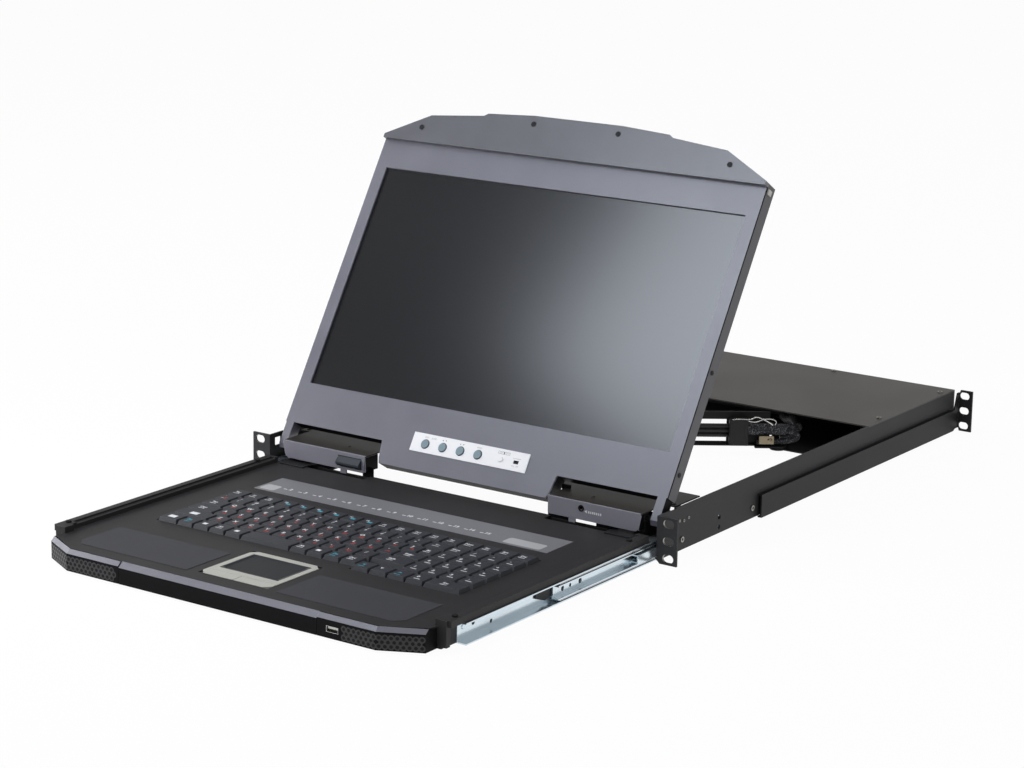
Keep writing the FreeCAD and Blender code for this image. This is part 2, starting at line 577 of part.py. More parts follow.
strip = Solid("label_plate")
strip.pad("XY", "tray_top - 0.5", "0.8",
          rect("-label_half + 0.2", "label_half - 0.2", "label_front + 0.2", "label_rear - 0.2"))
node(strip.body, "label_strip")


# ---------------------------------------------------------------- front bezel in three pieces
def bevel(solid, size, test):
    """Chamfer the edges of a solid whose two ends both pass a test."""
    doc.recompute()
    tip = solid.body.Tip
    names = ["Edge%d" % (i + 1) for i, edge in enumerate(tip.Shape.Edges)
             if all(test(vertex.Point) for vertex in edge.Vertexes)]
    feature = solid.body.newObject("PartDesign::Chamfer", solid.name + "_bevel")
    feature.Base = (tip, names)
    bind(feature, "Size", size)
    solid.body.Tip = feature


def on_front_lip(point):
    """Whether a point lies on the bezel's top front edge."""
    straight = SIZES["bezel_front"]
    corner = SIZES["bezel_side_front"]
    slope = (corner - straight) / (SIZES["bezel_side"] - SIZES["bezel_half"])
    reach = straight + slope * max(0, abs(point.x) - SIZES["bezel_half"])
    return abs(point.z - SIZES["tray_top"]) < 0.01 and abs(point.y - reach) < 0.01


shelf_height = "tray_top - tray_sheet - 0.2 - tray_bottom"
middle_bezel = Solid("bezel_middle")
near = "seam - seam_gap / 2"
middle_bezel.pad("XY", "tray_bottom", shelf_height,
                 rect("-(%s)" % near, near, "bezel_front", "bezel_back - 0.4"))
middle_bezel.pad("XY", "tray_bottom + 1", "tray_top - tray_bottom - 1",
                 rect("-(%s)" % near, near, "bezel_front", "bezel_front + lip_depth"))
middle_bezel.pocket("XY", "tray_bottom - 1", "tray_top - 5.5 - tray_bottom",
                    rect("-seam + 3", "seam - 3", "bezel_front + 2", "bezel_back - 3"))
bevel(middle_bezel, "bevel_middle", on_front_lip)
node(middle_bezel.body, "front_bezel")

corner_bezels = []
for side, word in ((-1, "left"), (1, "right")):
    corner = Solid("bezel_corner_%s" % word)
    near = "%d * (seam + seam_gap / 2)" % side
    edge = "%d * bezel_half" % side
    far = "%d * bezel_side" % side
    front = [(near, "bezel_front"), (edge, "bezel_front"), (far, "bezel_side_front")]
    corner.pad("XY", "tray_bottom", shelf_height,
               front + [(far, "side_rail_front - 2.3"), ("%d * 199" % side, "side_rail_front - 2.3"),
                        ("%s - %d * 0.5" % (edge, side), "bezel_back - 0.4"), (near, "bezel_back - 0.4")])
    corner.pad("XY", "tray_bottom + 1", "tray_top - tray_bottom - 1",
               front + [(far, "bezel_side_front + lip_depth + 0.4"),
                        ("%s + %d * 1" % (edge, side), "bezel_front + lip_depth - 0.1"),
                        (near, "bezel_front + lip_depth - 0.1")])
    corner.pocket("XY", "tray_bottom - 1", "tray_top - 5.5 - tray_bottom",
                  rect("%s + %d * 3" % (near, side), "%d * 114" % side, "bezel_front + 2", "bezel_back - 3"),
                  rect("%d * 134" % side, "%s - %d * 6" % (edge, side), "bezel_front + 2", "bezel_back - 3"))
    if side > 0:
        corner.pocket("XZ", "bezel_front - 1", "bezel_back - bezel_front + 2",
                      rect("117.4", "130.2", "6.6", "12.4"))
    bevel(corner, "bevel_corner", on_front_lip)
    corner_bezels.append(corner.body)
node(group("bezel_corners", corner_bezels), "bezel_corners")

port_shell = box("port_shell", "117.6", "bezel_front + 0.2", "6.8", "12.4", "12", "5.4")
port_hollow = box("port_hollow", "118", "bezel_front", "7.2", "11.6", "10", "4.6")
port_tongue = box("port_tongue", "118.6", "bezel_front + 1.4", "9.6", "10.4", "9.8", "1.8")
node(fuse("usb_socket", [cut("port_can", port_shell, [port_hollow]), port_tongue]), "usb_port")

# ---------------------------------------------------------------- keyboard
plate = Solid("key_plate")
plate.pad("XY", "key_foot - key_travel - 1.8", "1.6", keyboard_outline("3"))
plate.pad("XY", "tray_bottom + tray_sheet", "key_foot - key_travel - 1.7 - tray_bottom - tray_sheet",
          *[(x, y, "3") for x in ("-150", "0", "150") for y in ("-205", "-130")])
for edge in ("keys_left - 3", number_right + " + 1"):
    plate.pad("YZ", edge, "2", rect("-215", "-120", "key_foot - key_travel - 0.3", "tray_top - tray_sheet"))
node(plate.body, "keyboard_frame")


def key(name, x, y, wide, deep):
    """One key cap: a tapered block, narrower at the top, with most of its slope at the front."""
    cap = doc.addObject("Part::Wedge", name)
    width = "%s - key_gap" % wide
    depth = "%s - key_gap" % deep
    for prop, text in (("Xmin", "0"), ("Xmax", width), ("Zmin", "0"), ("Zmax", depth),
                       ("Ymin", "0"), ("Ymax", "key_height"), ("X2min", "key_taper / 2"),
                       ("X2max", width + " - key_taper / 2"), ("Z2min", "key_taper * 0.3"),
                       ("Z2max", depth + " - key_taper * 0.8")):
        bind(cap, prop, text)
    cap.Placement = FreeCAD.Placement(FreeCAD.Vector(), FreeCAD.Rotation(FreeCAD.Vector(1, 0, 0), 90))
    return place(cap, "%s + key_gap / 2" % x, "%s + %s - key_gap / 2" % (y, deep), "key_foot")


# each row's key widths in key pitches, from the left
ROWS = {
    "keys_bottom": [1.2, 1, 1, 1, 1, 3, 1, 1, 1, 1],
    "keys_shift": [2.2] + [1] * 10 + [2.08],
    "keys_home": [1.7] + [1] * 11 + [1.58],
    "keys_upper": [1.4] + [1] * 12 + [0.88],
    "keys_number": [1] * 13 + [1.28],
    "keys_function": [1.02] * 14,
}
SPACE_BAR = 5
for row, (label, widths) in enumerate(ROWS.items()):
    caps = []
    spot = 0.0
    for i, units in enumerate(widths):
        cap = key("%s_%d" % (label, i), "keys_left + %.2f * key_pitch" % spot,
                  "keys_front + %d * key_row" % row, "%s * key_pitch" % units, "key_row")
        spot += units
        if row == 0 and i == SPACE_BAR:
            node(cap, "space_bar")
        else:
            caps.append(cap)
    pads = [(column, 1) for column in range(4)] if row > 0 else [(-2, 1), (-1, 1), (0, 1), (1, 1), (2, 2)]
    for column, units in pads:
        caps.append(key("%s_pad%d" % (label, column + 2), "number_left + %d * number_pitch" % column,
                        "number_front + %d * number_row" % row, "%d * number_pitch" % units,
                        "number_row" if row > 0 else "(number_row - 1.4)"))
    node(group(label, caps), label)

# ---------------------------------------------------------------- touchpad
frame = Solid("pad_frame")
frame.pad("XY", "tray_top - 2.2", "2.6",
          [("-pad_half + 0.2", "pad_button_rear + 0.2"), ("-pad_half + 0.2", "pad_rear - 6"),
           ("-pad_half + 6", "pad_rear - 0.2"), ("pad_half - 6", "pad_rear - 0.2"),
           ("pad_half - 0.2", "pad_rear - 6"), ("pad_half - 0.2", "pad_button_rear + 0.2")])
frame.pocket("XY", "tray_top - 1", "3",
             rect("-pad_screen_half", "pad_screen_half", "pad_screen_front", "pad_screen_rear"))
frame.pad("XY", "tray_top - 3.2", "1.2",
          rect("-pad_half - 3", "pad_half + 3", "pad_front - 3", "pad_rear + 3"))
node(frame.body, "touchpad_frame")

surface = Solid("pad_surface")
surface.pad("XY", "tray_top - 1", "0.6",
            rect("-pad_screen_half + 0.1", "pad_screen_half - 0.1", "pad_screen_front + 0.1",
                 "pad_screen_rear - 0.1"))
node(surface.body, "touchpad_surface")

for side, word in ((-1, "left"), (1, "right")):
    press = Solid("press_%s" % word)
    near = "%d * pad_button_seam" % side
    far = "%d * (pad_half - 0.3)" % side
    round_off = "%d * (pad_half - 6)" % side
    press.pad("XY", "tray_top - 1.2", "1.6",
              [(near, "pad_button_rear - 0.1"), (far, "pad_button_rear - 0.1"), (far, "pad_front + 6"),
               (round_off, "pad_front + 0.3"), (near, "pad_front + 0.3")])
    node(press.body, "touchpad_button_%s" % word)

# ---------------------------------------------------------------- hinge covers, rear plate and hinges
covers = []
for side, word in ((-1, "left"), (1, "right")):
    cover = Solid("hinge_shell_%s" % word)
    near, far = "%d * cover_inner" % side, "%d * cover_outer" % side
    cover.pad("XZ", "0.4", "1.6",
              [("%s + %d * 2" % (near, side), "cover_low"), ("%s - %d * 6" % (far, side), "cover_low"),
               ("%s - %d * 2.5" % (far, side), "cover_low + 3"), (far, "cover_high - 2"),
               ("%s - %d * 1" % (far, side), "cover_high"), (near, "cover_high")])
    ends = mirrored(side, "cover_inner", "cover_inner + 1.5")
    cover.pad("YZ", *ends, rect("1", "20", "cover_low + 1", "cover_high - 1.6"))
    ends = mirrored(side, "cover_outer - 3.8", "cover_outer - 2.6")
    cover.pad("YZ", *ends, [("1", "cover_low + 1"), ("8.5", "cover_low + 1"), ("8.5", "cover_high - 1.6"),
                            ("1", "cover_high - 1.6")])
    ends = mirrored(side, "cover_inner + 3", "cover_outer - 7")
    cover.pad("YZ", *ends, rect("1", "8", "cover_low", "cover_low + 1.5"))
    ends = mirrored(side, "127", "134")
    cover.pad("YZ", *ends, rect("0.6", "2", "tray_top + 0.3", "cover_low + 1"))
    if side < 0:
        cover.pocket("XZ", "-1", "5", rect("-137", "-108.5", "27.5", "38.5"))
    else:
        cover.pocket("XZ", "-1", "5", ("jack_side", "jack_height", "jack_ring"))
        cover.pad("XZ", "1.1", "7", ("jack_side", "jack_height", "jack_radius"))
        cover.pocket("XZ", "0.2", "7", ("jack_side", "jack_height", "jack_hole"))
    covers.append(cover.body)
node(group("hinge_covers", covers), "hinge_covers")

shelf = Solid("rear_shelf")
shelf.pad("XY", "cover_high - tray_sheet", "tray_sheet",
          [("cover_inner", "2.3"), ("cover_outer - 0.5", "2.3"), ("cover_outer - 0.5", "plate_notch"),
           ("plate_half", "plate_notch"), ("plate_half", "plate_rear"), ("-plate_half", "plate_rear"),
           ("-plate_half", "plate_notch"), ("-cover_outer + 0.5", "plate_notch"),
           ("-cover_outer + 0.5", "2.3"), ("-cover_inner", "2.3"), ("-cover_inner", "plate_notch"),
           ("cover_inner", "plate_notch")])
shelf.pad("XZ", "plate_rear - tray_sheet", "tray_sheet",
          rect("-130", "150", "cover_high - 6", "cover_high - 0.6"))
for x in ("-209", "209"):
    shelf.pad("XY", "cover_high - 0.1", "0.9", (x, "46", "2.4"))
for x in ("-139.5", "139.5"):
    shelf.pad("XY", "cover_high - 0.1", "0.7", (x, "21", "1.8"))
node(shelf.body, "rear_top_plate")

latch = Solid("release_latch_body")
latch.pad("YZ", "-136.4", "27.3", [("-4.3", "31.2"), ("-4.3", "33"), ("0.5", "37.8"), ("3.8", "37.8"),
                                   ("3.8", "28.2"), ("-1", "28.2")])
node(latch.body, "release_latch")

pivots = []
for side, word in ((-1, "left"), (1, "right")):
    barrel = rod("barrel_%s" % word, "barrel_inner" if side > 0 else "-barrel_inner - barrel_long",
                 "hinge_depth", "hinge_height", "barrel_radius", "barrel_long", "X")
    pin = rod("pin_%s" % word, "195" if side > 0 else "-215.5", "hinge_depth", "hinge_height",
              "hinge_pin", "20.5", "X")
    inside = "wing_inner + 1"
    foot = box("hinge_foot_%s" % word, "172" if side > 0 else "-200", "-10", "tray_top", "28", "30", "1.5")
    start, wide = mirrored(side, inside, inside + " + 12")
    post = box("hinge_post_%s" % word, start, "11.6", "tray_bottom + tray_sheet", wide, "8", "30")
    pivots.append(fuse("hinge_%s" % word, [barrel, pin, foot, post]))
node(group("hinges", pivots), "hinges")

bumpers = [rod("bumper%d" % i, x, y, "side_rail_top + 0.01", "2.6", "1.4")
           for i, (x, y) in enumerate((("211", "-288"), ("-211", "-288"), ("211", "-30"), ("-211", "-30")))]
node(group("tray_bumpers", bumpers), "tray_bumpers")

tray_board = Solid("tray_board_body")
tray_board.pad("XY", "logic_low", "board_sheet",
               rect("-logic_half", "logic_half", "logic_front", "logic_rear"))
logic_posts = [("%d * (logic_half - 10)" % side, depth, "2.5")
               for side in (-1, 1) for depth in ("logic_front + 10", "logic_rear - 4")]
tray_board.pad("XY", "tray_bottom + tray_sheet", "logic_low + 0.1 - tray_bottom - tray_sheet", *logic_posts)
tray_board.pad("XY", "logic_low + board_sheet - 0.1", "4",
               rect("-logic_half / 3", "-logic_half / 12", "logic_front + 25", "logic_rear - 14"),
               rect("logic_half / 6", "logic_half / 3", "logic_front + 35", "logic_rear - 16"))
node(tray_board.body, "tray_board")

# ---------------------------------------------------------------- display
TILT = FreeCAD.Rotation(FreeCAD.Vector(1, 0, 0), -SIZES["display_tilt"])


def tip_up(obj):
    """Stand a display piece, drawn along the panel from the hinge axis, at its open angle."""
    obj.Placement = FreeCAD.Placement(FreeCAD.Vector(), TILT)
    bind(obj, ".Placement.Rotation.Angle", "-display_tilt")
    return place(obj, "0", "hinge_depth", "hinge_height")


def display_outline(low, edge="0"):
    """Front view of the display above a given height, with its shaped top."""
    half = "display_half - " + edge
    top = " - " + edge
    right = [(half, low), (half, "cap_shoulder" + top), ("cap_corner_half", "cap_corner" + top),
             ("108", "cap_step_low" + top), ("103.5", "cap_step_high" + top), ("50", "cap_crown - 1" + top)]
    return right + [("-(%s)" % x, y) for x, y in reversed(right)]


face = Solid("display_bezel")
feet = [("-display_half", "corner_low"), ("-arm_outer", "corner_low"), ("-arm_outer", "arm_low + 4"),
        ("-arm_inner", "arm_low + 4"), ("-arm_inner", "corner_low"), ("-middle_half", "corner_low"),
        ("-middle_half + 3", "middle_low + 5"), ("-middle_half + 5", "middle_low"),
        ("middle_half - 5", "middle_low"), ("middle_half - 3", "middle_low + 5"),
        ("middle_half", "corner_low"), ("arm_inner", "corner_low"), ("arm_inner", "arm_low + 4"),
        ("arm_outer", "arm_low + 4"), ("arm_outer", "corner_low"), ("display_half", "corner_low")]
face.pad("XZ", "-display_face", "display_skin",
         feet + [("display_half", "cap_shoulder - 4"), ("-display_half", "cap_shoulder - 4")])
face.pocket("XZ", "-display_face - 1", "display_skin + 2",
            rect("-screen_half", "screen_half", "screen_low", "screen_high"))
CONTROL_HOLES = [("power_side", "button_line", "power_radius + control_gap"),
                 rect("switch_side - switch_half", "switch_side + switch_half",
                      "button_line - switch_tall", "button_line + switch_tall")]
BUTTONS = ["button_first + %d * button_pitch" % i for i in range(4)]
CONTROL_HOLES += [(x, "button_line", "button_radius + control_gap") for x in BUTTONS]
face.pocket("XZ", "-display_face - 1", "display_skin + 2", *CONTROL_HOLES)
for side in (-1, 1):
    ends = mirrored(side, "arm_inner", "arm_outer")
    face.pad("YZ", *ends, [("-display_face + 0.5", "corner_low + 2"), ("-display_face", "-2"),
                           ("-3", "arm_low"), ("3", "arm_low"), ("6", "-2"), ("6", "corner_low - 0.2"),
                           ("-display_face + display_skin", "corner_low - 0.2"),
                           ("-display_face + display_skin", "corner_low + 2")])
    face.pocket("YZ", *mirrored(side, "arm_inner - 1", "arm_outer + 1"),
                ("0", "0", "hinge_pin + pin_clearance"))
node(tip_up(face.body), "lcd_bezel")

back = Solid("display_back_cover")
shell = [("-display_half", "corner_low"), ("-middle_half", "corner_low"),
         ("-middle_half + 3", "middle_low + 5"),
         ("-middle_half + 5", "middle_low"), ("middle_half - 5", "middle_low"),
         ("middle_half - 3", "middle_low + 5"), ("middle_half", "corner_low"), ("display_half", "corner_low")]
crown = display_outline("corner_low")[1:-1]
skin_back = "-display_face + display_skin + 0.05"
back.pad("XZ", skin_back, "display_back + display_face - display_skin - 0.05", shell + crown)
inset = "display_wall"
back.pocket("XZ", "-display_face", "display_face + display_back - display_wall",
            [("-display_half + %s" % inset, "corner_low + %s" % inset),
             ("-middle_half + %s" % inset, "corner_low + %s" % inset),
             ("-middle_half + 7", "middle_low + %s" % inset), ("middle_half - 7", "middle_low + %s" % inset),
             ("middle_half - %s" % inset, "corner_low + %s" % inset),
             ("display_half - %s" % inset, "corner_low + %s" % inset),
             ("display_half - %s" % inset, "cap_shoulder - 2"),
             ("cap_corner_half - 1", "cap_corner - 2"), ("107", "cap_step_low - 2"),
             ("-107", "cap_step_low - 2"), ("-cap_corner_half + 1", "cap_corner - 2"),
             ("-display_half + %s" % inset, "cap_shoulder - 2")])
node(tip_up(back.body), "lcd_rear_cover")

panel = Solid("display_panel")
panel.pad("XZ", "-display_face + display_skin + 0.2", "8.8",
          rect("-screen_half - 4.5", "screen_half + 4.5", "screen_low - 7", "screen_high + 7"))
node(tip_up(panel.body), "lcd_panel")

hood = Solid("display_cap")
hood.pad("XZ", "-display_face - cap_rise", "cap_rise + display_skin",
         display_outline("cap_low"))
hood.pocket("XZ", "-display_face - cap_rise + 2", "cap_rise + display_skin",
            [("display_half - 2", "cap_low + 1.5"), ("display_half - 2", "cap_shoulder - 1.5"),
             ("cap_corner_half - 1", "cap_corner - 2.6"), ("100", "cap_step_low - 2.6"),
             ("-100", "cap_step_low - 2.6"), ("-cap_corner_half + 1", "cap_corner - 2.6"),
             ("-display_half + 2", "cap_shoulder - 1.5"), ("-display_half + 2", "cap_low + 1.5")])
node(tip_up(hood.body), "lcd_cap")

screws = Solid("display_screws")
for side in (-1, 1):
    screws.pad("XZ", "-display_face - cap_rise - 0.7", "0.7",
               ("%d * cap_screw_side" % side, "cap_screw_line", "cap_screw_head"),
               ("%d * crown_screw_side" % side, "crown_screw_line", "cap_screw_head"))
for side in (-1, 1):
    ends = mirrored(side, "display_half + 0.01", "display_half + 0.7")
    screws.pad("YZ", *ends, ("1.5", "44.5", "2.3"), ("1.5", "142.4", "2.3"))
node(tip_up(screws.body), "lcd_screws")

stops = Solid("display_stops")
for side in (-1, 1):
    ends = mirrored(side, "display_half + 0.01", "display_half + 1.6")
    stops.pad("YZ", *ends, rect("-display_face + 3", "-display_face + 9", "316", "321"))
node(tip_up(stops.body), "lcd_bumpers")

osd = Solid("osd_label")
osd.pad("XZ", "-display_face - 0.6", "0.58",
        rect("-plate_osd_half", "plate_osd_half", "plate_osd_low", "plate_osd_high"))
osd.pocket("XZ", "-display_face - 2", "4", *CONTROL_HOLES)
node(tip_up(osd.body), "osd_plate")

knobs = Solid("osd_knobs")
knobs.pad("XZ", "-display_face - 1.7", "4", *[(x, "button_line", "button_radius") for x in BUTTONS])
node(tip_up(knobs.body), "osd_buttons")

power = Solid("power_knob")
power.pad("XZ", "-display_face - 1.3", "3.6", ("power_side", "button_line", "power_radius"))
node(tip_up(power.body), "lcd_power_button")

board_osd = Solid("control_board_body")
board_osd.pad("XZ", "-0.6", "board_sheet", rect("-plate_osd_half - 4", "plate_osd_half + 4",
                                                "button_line - 12", "button_line + 12"))
board_osd.pad("XZ", "0.9", "7", ("-plate_osd_half + 6", "button_line", "2"),
              ("plate_osd_half - 6", "button_line", "2"))
board_osd.pad("XZ", "-display_face + 0.9", "4.8",
              rect("switch_side - switch_half + 0.3", "switch_side + switch_half - 0.3",
                   "button_line - switch_tall + 0.3", "button_line + switch_tall - 0.3"))
node(tip_up(board_osd.body), "control_board")


# ---------------------------------------------------------------- cable arm
def swing(obj, x, y, z, angle):
    """Set an arm piece, drawn along +X from its pivot, at its pivot and turned to its angle."""
    obj.Placement = FreeCAD.Placement(FreeCAD.Vector(), FreeCAD.Rotation(FreeCAD.Vector(0, 0, 1), 30))
    bind(obj, ".Placement.Rotation.Angle", angle)
    return place(obj, x, y, z)


arm_half = "arm_wide / 2"
web_near = "%s - arm_sheet" % arm_half
carrier = Solid("arm_carrier")
carrier.pad("XZ", web_near, "arm_sheet",
            [("-6", "0"), ("arm_long - 8", "0"), ("arm_long - 8", "arm_tall"), ("arm_step + 4", "arm_tall"),
             ("arm_step", "arm_foot_tall"), ("-6", "arm_foot_tall")])
flange = "%s - arm_edge" % arm_half
carrier.pad("XY", "0", "arm_sheet",
            [("-6", "-%s" % arm_half), ("arm_end", "-%s" % arm_half), ("arm_end", flange),
             ("arm_long - arm_end", flange), ("arm_long - arm_end", "-%s" % arm_half),
             ("arm_long", "-%s" % arm_half), ("arm_long", arm_half), ("-6", arm_half)])
carrier.pad("XY", "0", "arm_sheet", ("arm_long", "0", "arm_half_disc"))
windows = ["window_first + %d * window_pitch" % i for i in range(3)]
carrier.pocket("XZ", web_near + " - 1", "arm_sheet + 2",
               *[rect(left, left + " + window_long", "window_low", "arm_tall - window_margin")
                 for left in windows])
carrier.pad("XY", "0", "arm_foot_tall", ("0", "0", "6"))
carrier.pocket("XY", "-1", "arm_tall + 2", ("0", "0", "arm_pin + pin_clearance"))
carrier.pocket("XY", "-1", "arm_sheet + 2", ("arm_long", "0", "2.6"))
node(swing(carrier.body, "-arm_foot_side", "arm_foot_depth", "arm_base", "arm_turn"), "cable_arm_front")


def rounded_path(points, radii):
    """Straight runs joined by tangent arcs, one radius for each inner point."""
    edges = []
    last = points[0]
    for before, corner, after, radius in zip(points, points[1:], points[2:], radii):
        inward = (before - corner).normalize()
        outward = (after - corner).normalize()
        half = inward.getAngle(outward) / 2
        reach = radius / math.tan(half)
        first = corner + inward * reach
        final = corner + outward * reach
        axis = (inward + outward).normalize()
        middle = corner + axis * (radius / math.sin(half) - radius)
        edges += [Part.LineSegment(last, first).toShape(), Part.Arc(first, middle, final).toShape()]
        last = final
    edges.append(Part.LineSegment(last, points[-1]).toShape())
    return Part.Wire(edges)


def tube(name, points, radii, size):
    """A round cord along a path, as a fixed shape."""
    route = rounded_path(points, radii)
    section = Part.Wire(Part.makeCircle(size, points[0], points[1] - points[0]))
    cord = doc.addObject("Part::Feature", name)
    cord.Shape = route.makePipeShell([section], True, False)
    return cord


bundle = Solid("front_cables")
tube_side = web_near + " - tube_radius - tube_gap - tube_inset"
for i in range(3):
    bundle.pad("YZ", "12", "clamp_start - 11.9",
               (tube_side, "tube_first + %d * tube_pitch" % i, "tube_radius"))
bundle.pad("YZ", "clamp_start", "clamp_end - clamp_start",
           rect("-clamp_front", web_near + " - tube_gap", "clamp_low", "clamp_high"))
bundle.pad("YZ", "clamp_end - 0.1", "arm_long + bundle_reach - clamp_end + 0.1",
           ("sleeve_side", "bundle_height", "bundle_radius"))
bundle_far = SIZES["arm_long"] + SIZES["bundle_reach"]
strand_far = bundle_far + SIZES["strand_turn"] + 2.0
strand_high = SIZES["bundle_height"] - SIZES["strand_drop"]
STRAND = [FreeCAD.Vector(x, SIZES["sleeve_side"], z) for x, z in
          ((bundle_far - 6.0, strand_high), (strand_far, strand_high),
           (strand_far, SIZES["strand_height"]), (SIZES["strand_end"], SIZES["strand_height"]))]
strand = tube("bundle_strand", STRAND, (SIZES["strand_turn"], SIZES["strand_turn"]), SIZES["strand_radius"])
front_cable = fuse("front_cable", [bundle.body, strand])
node(swing(front_cable, "-arm_foot_side", "arm_foot_depth", "arm_base", "arm_turn"), "arm_cable_front")

foot = Solid("arm_foot")
foot_top = "cover_high - tray_sheet"
foot.pad("XY", foot_top + " - 2", "2",
         [("-arm_foot_side - 30", "plate_rear - 30"), ("-arm_foot_side + 12", "plate_rear - 30"),
          ("-arm_foot_side + 12", "arm_foot_depth + 8"), ("-arm_foot_side - 12", "arm_foot_depth + 8"),
          ("-arm_foot_side - 30", "plate_rear + 20")])
foot.pad("XY", "arm_base - 0.3", foot_top + " - 1.9 - arm_base + 0.3",
         ("-arm_foot_side", "arm_foot_depth", "arm_pin"))
foot.pad("XY", "arm_base - 1.5", "1.2", ("-arm_foot_side", "arm_foot_depth", "4.6"))
node(foot.body, "cable_arm_mount")

short = Solid("arm_link")
short.pad("XY", "0", "link_sheet", rect("-link_wide / 2", "link_long - 6", "-link_wide / 2", "link_wide / 2"),
          ("link_long", "0", "link_wide / 2"))
short.pocket("XY", "-1", "4", ("0", "0", "4 + pin_clearance"))
short.pad("XY", "link_sheet - 0.1", "0.6", ("link_long", "0", "3"))
link_base = "side_bottom + cover_sheet + link_lift"
node(swing(short.body, "anchor_side", "anchor_depth", link_base, "link_turn"), "cable_arm_rear")


link_floor = SIZES["side_bottom"] + SIZES["cover_sheet"] + SIZES["link_lift"]
loop_height = SIZES["arm_base"] + SIZES["bundle_height"] - link_floor
rest_height = SIZES["link_sheet"] + SIZES["sleeve_rest"] + SIZES["sleeve_radius"]
link_long = SIZES["link_long"]
REAR_CABLE = [FreeCAD.Vector(x, y, z) for x, y, z in
              ((0.86 * link_long, 18.5, loop_height), (0.60 * link_long, 15.5, loop_height),
               (0.28 * link_long, 5.0, rest_height), (12.0, 1.0, rest_height))]
rear_cable = tube("rear_cable", REAR_CABLE, (60.0, 60.0), SIZES["sleeve_radius"])
node(swing(rear_cable, "anchor_side", "anchor_depth", link_base, "link_turn"), "arm_cable_rear")

doc.recompute()

# ---------------------------------------------------------------- write the parts
for obj in NODES:
    bad = [word for word in obj.State if word in ("Invalid", "Error")]
    if bad or obj.Shape.isNull() or not obj.Shape.isValid():
        raise RuntimeError("%s failed: %s" % (obj.Label, obj.State))
    obj.Shape.exportStep("parts/%s.step" % obj.Label)
    span = obj.Shape.BoundBox
    print("%-24s solids %3d  volume %10.1f  X %.1f..%.1f  Y %.1f..%.1f  Z %.1f..%.1f" % (
        obj.Label, len(obj.Shape.Solids), obj.Shape.Volume, span.XMin, span.XMax,
        span.YMin, span.YMax, span.ZMin, span.ZMax))
print("parts written:", len(NODES))
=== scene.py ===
import json
import math

import bmesh
import bpy
from mathutils import Matrix, Quaternion, Vector


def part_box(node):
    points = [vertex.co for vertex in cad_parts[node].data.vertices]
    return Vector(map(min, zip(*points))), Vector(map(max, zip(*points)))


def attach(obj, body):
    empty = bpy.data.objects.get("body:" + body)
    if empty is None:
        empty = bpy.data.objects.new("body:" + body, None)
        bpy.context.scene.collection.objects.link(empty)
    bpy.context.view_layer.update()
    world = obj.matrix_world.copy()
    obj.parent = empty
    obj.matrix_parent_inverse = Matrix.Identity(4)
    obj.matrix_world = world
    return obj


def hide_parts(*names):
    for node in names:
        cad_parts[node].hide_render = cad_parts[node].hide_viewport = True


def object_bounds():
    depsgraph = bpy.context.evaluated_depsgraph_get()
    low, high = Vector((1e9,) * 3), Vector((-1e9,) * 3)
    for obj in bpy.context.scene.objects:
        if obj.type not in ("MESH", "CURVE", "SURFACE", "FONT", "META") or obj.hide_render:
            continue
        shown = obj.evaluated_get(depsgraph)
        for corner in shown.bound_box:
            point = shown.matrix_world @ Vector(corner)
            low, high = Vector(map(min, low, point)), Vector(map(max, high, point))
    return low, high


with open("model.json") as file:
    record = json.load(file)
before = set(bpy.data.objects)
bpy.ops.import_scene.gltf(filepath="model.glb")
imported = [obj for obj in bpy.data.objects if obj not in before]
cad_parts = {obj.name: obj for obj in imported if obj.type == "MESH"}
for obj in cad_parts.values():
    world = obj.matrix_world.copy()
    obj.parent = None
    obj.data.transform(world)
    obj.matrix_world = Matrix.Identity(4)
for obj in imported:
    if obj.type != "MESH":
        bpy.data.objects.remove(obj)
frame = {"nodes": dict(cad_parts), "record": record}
packed_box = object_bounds()

# ---------------------------------------------------------------- camera
# The drawer stands open in front of its housing, and is seen from its front right corner,
# a little above the keyboard, through a long lens.
camera = bpy.data.objects.new("camera", bpy.data.cameras.new("camera"))
bpy.context.scene.collection.objects.link(camera)
bpy.context.scene.camera = camera
camera.data.sensor_width = 36.0
camera.data.lens = 96.82
camera.data.shift_x = 0.02445
camera.data.shift_y = -0.02917
camera.data.clip_start, camera.data.clip_end = 0.05, 60.0
turn, rise, lean = math.radians(35.253), math.radians(13.277), math.radians(0.813)
back = Vector((math.sin(turn) * math.cos(rise), -math.cos(turn) * math.cos(rise), math.sin(rise)))
camera.location = (1.43473, -1.98009, 0.73419)
camera.rotation_mode = "QUATERNION"
camera.rotation_quaternion = (-back).to_track_quat("-Z", "Y") @ Quaternion((0, 0, 1), lean)


# ---------------------------------------------------------------- studio
# A white sweep under and behind the console, a broad soft box high on the left, one above,
# two small near ones at the front left, and a weak fill on the right.
class Tone:
    """A value inside a material. Sums, products and comparisons of tones add Math nodes."""

    def __init__(self, wiring, socket):
        self.wiring, self.socket = wiring, socket

    def math(self, operation, first, second=0.0):
        return self.wiring.node("ShaderNodeMath", {"operation": operation}, {0: first, 1: second})

    def __add__(self, other):
        return self.math("ADD", self, other)

    def __sub__(self, other):
        return self.math("SUBTRACT", self, other)

    def __rsub__(self, other):
        return self.math("SUBTRACT", other, self)

    def __mul__(self, other):
        return self.math("MULTIPLY", self, other)

    def __gt__(self, other):
        return self.math("GREATER_THAN", self, other)

    __radd__ = __add__
    __rmul__ = __mul__

    def most(self, other):
        return self.math("MAXIMUM", self, other)

    def least(self, other):
        return self.math("MINIMUM", self, other)


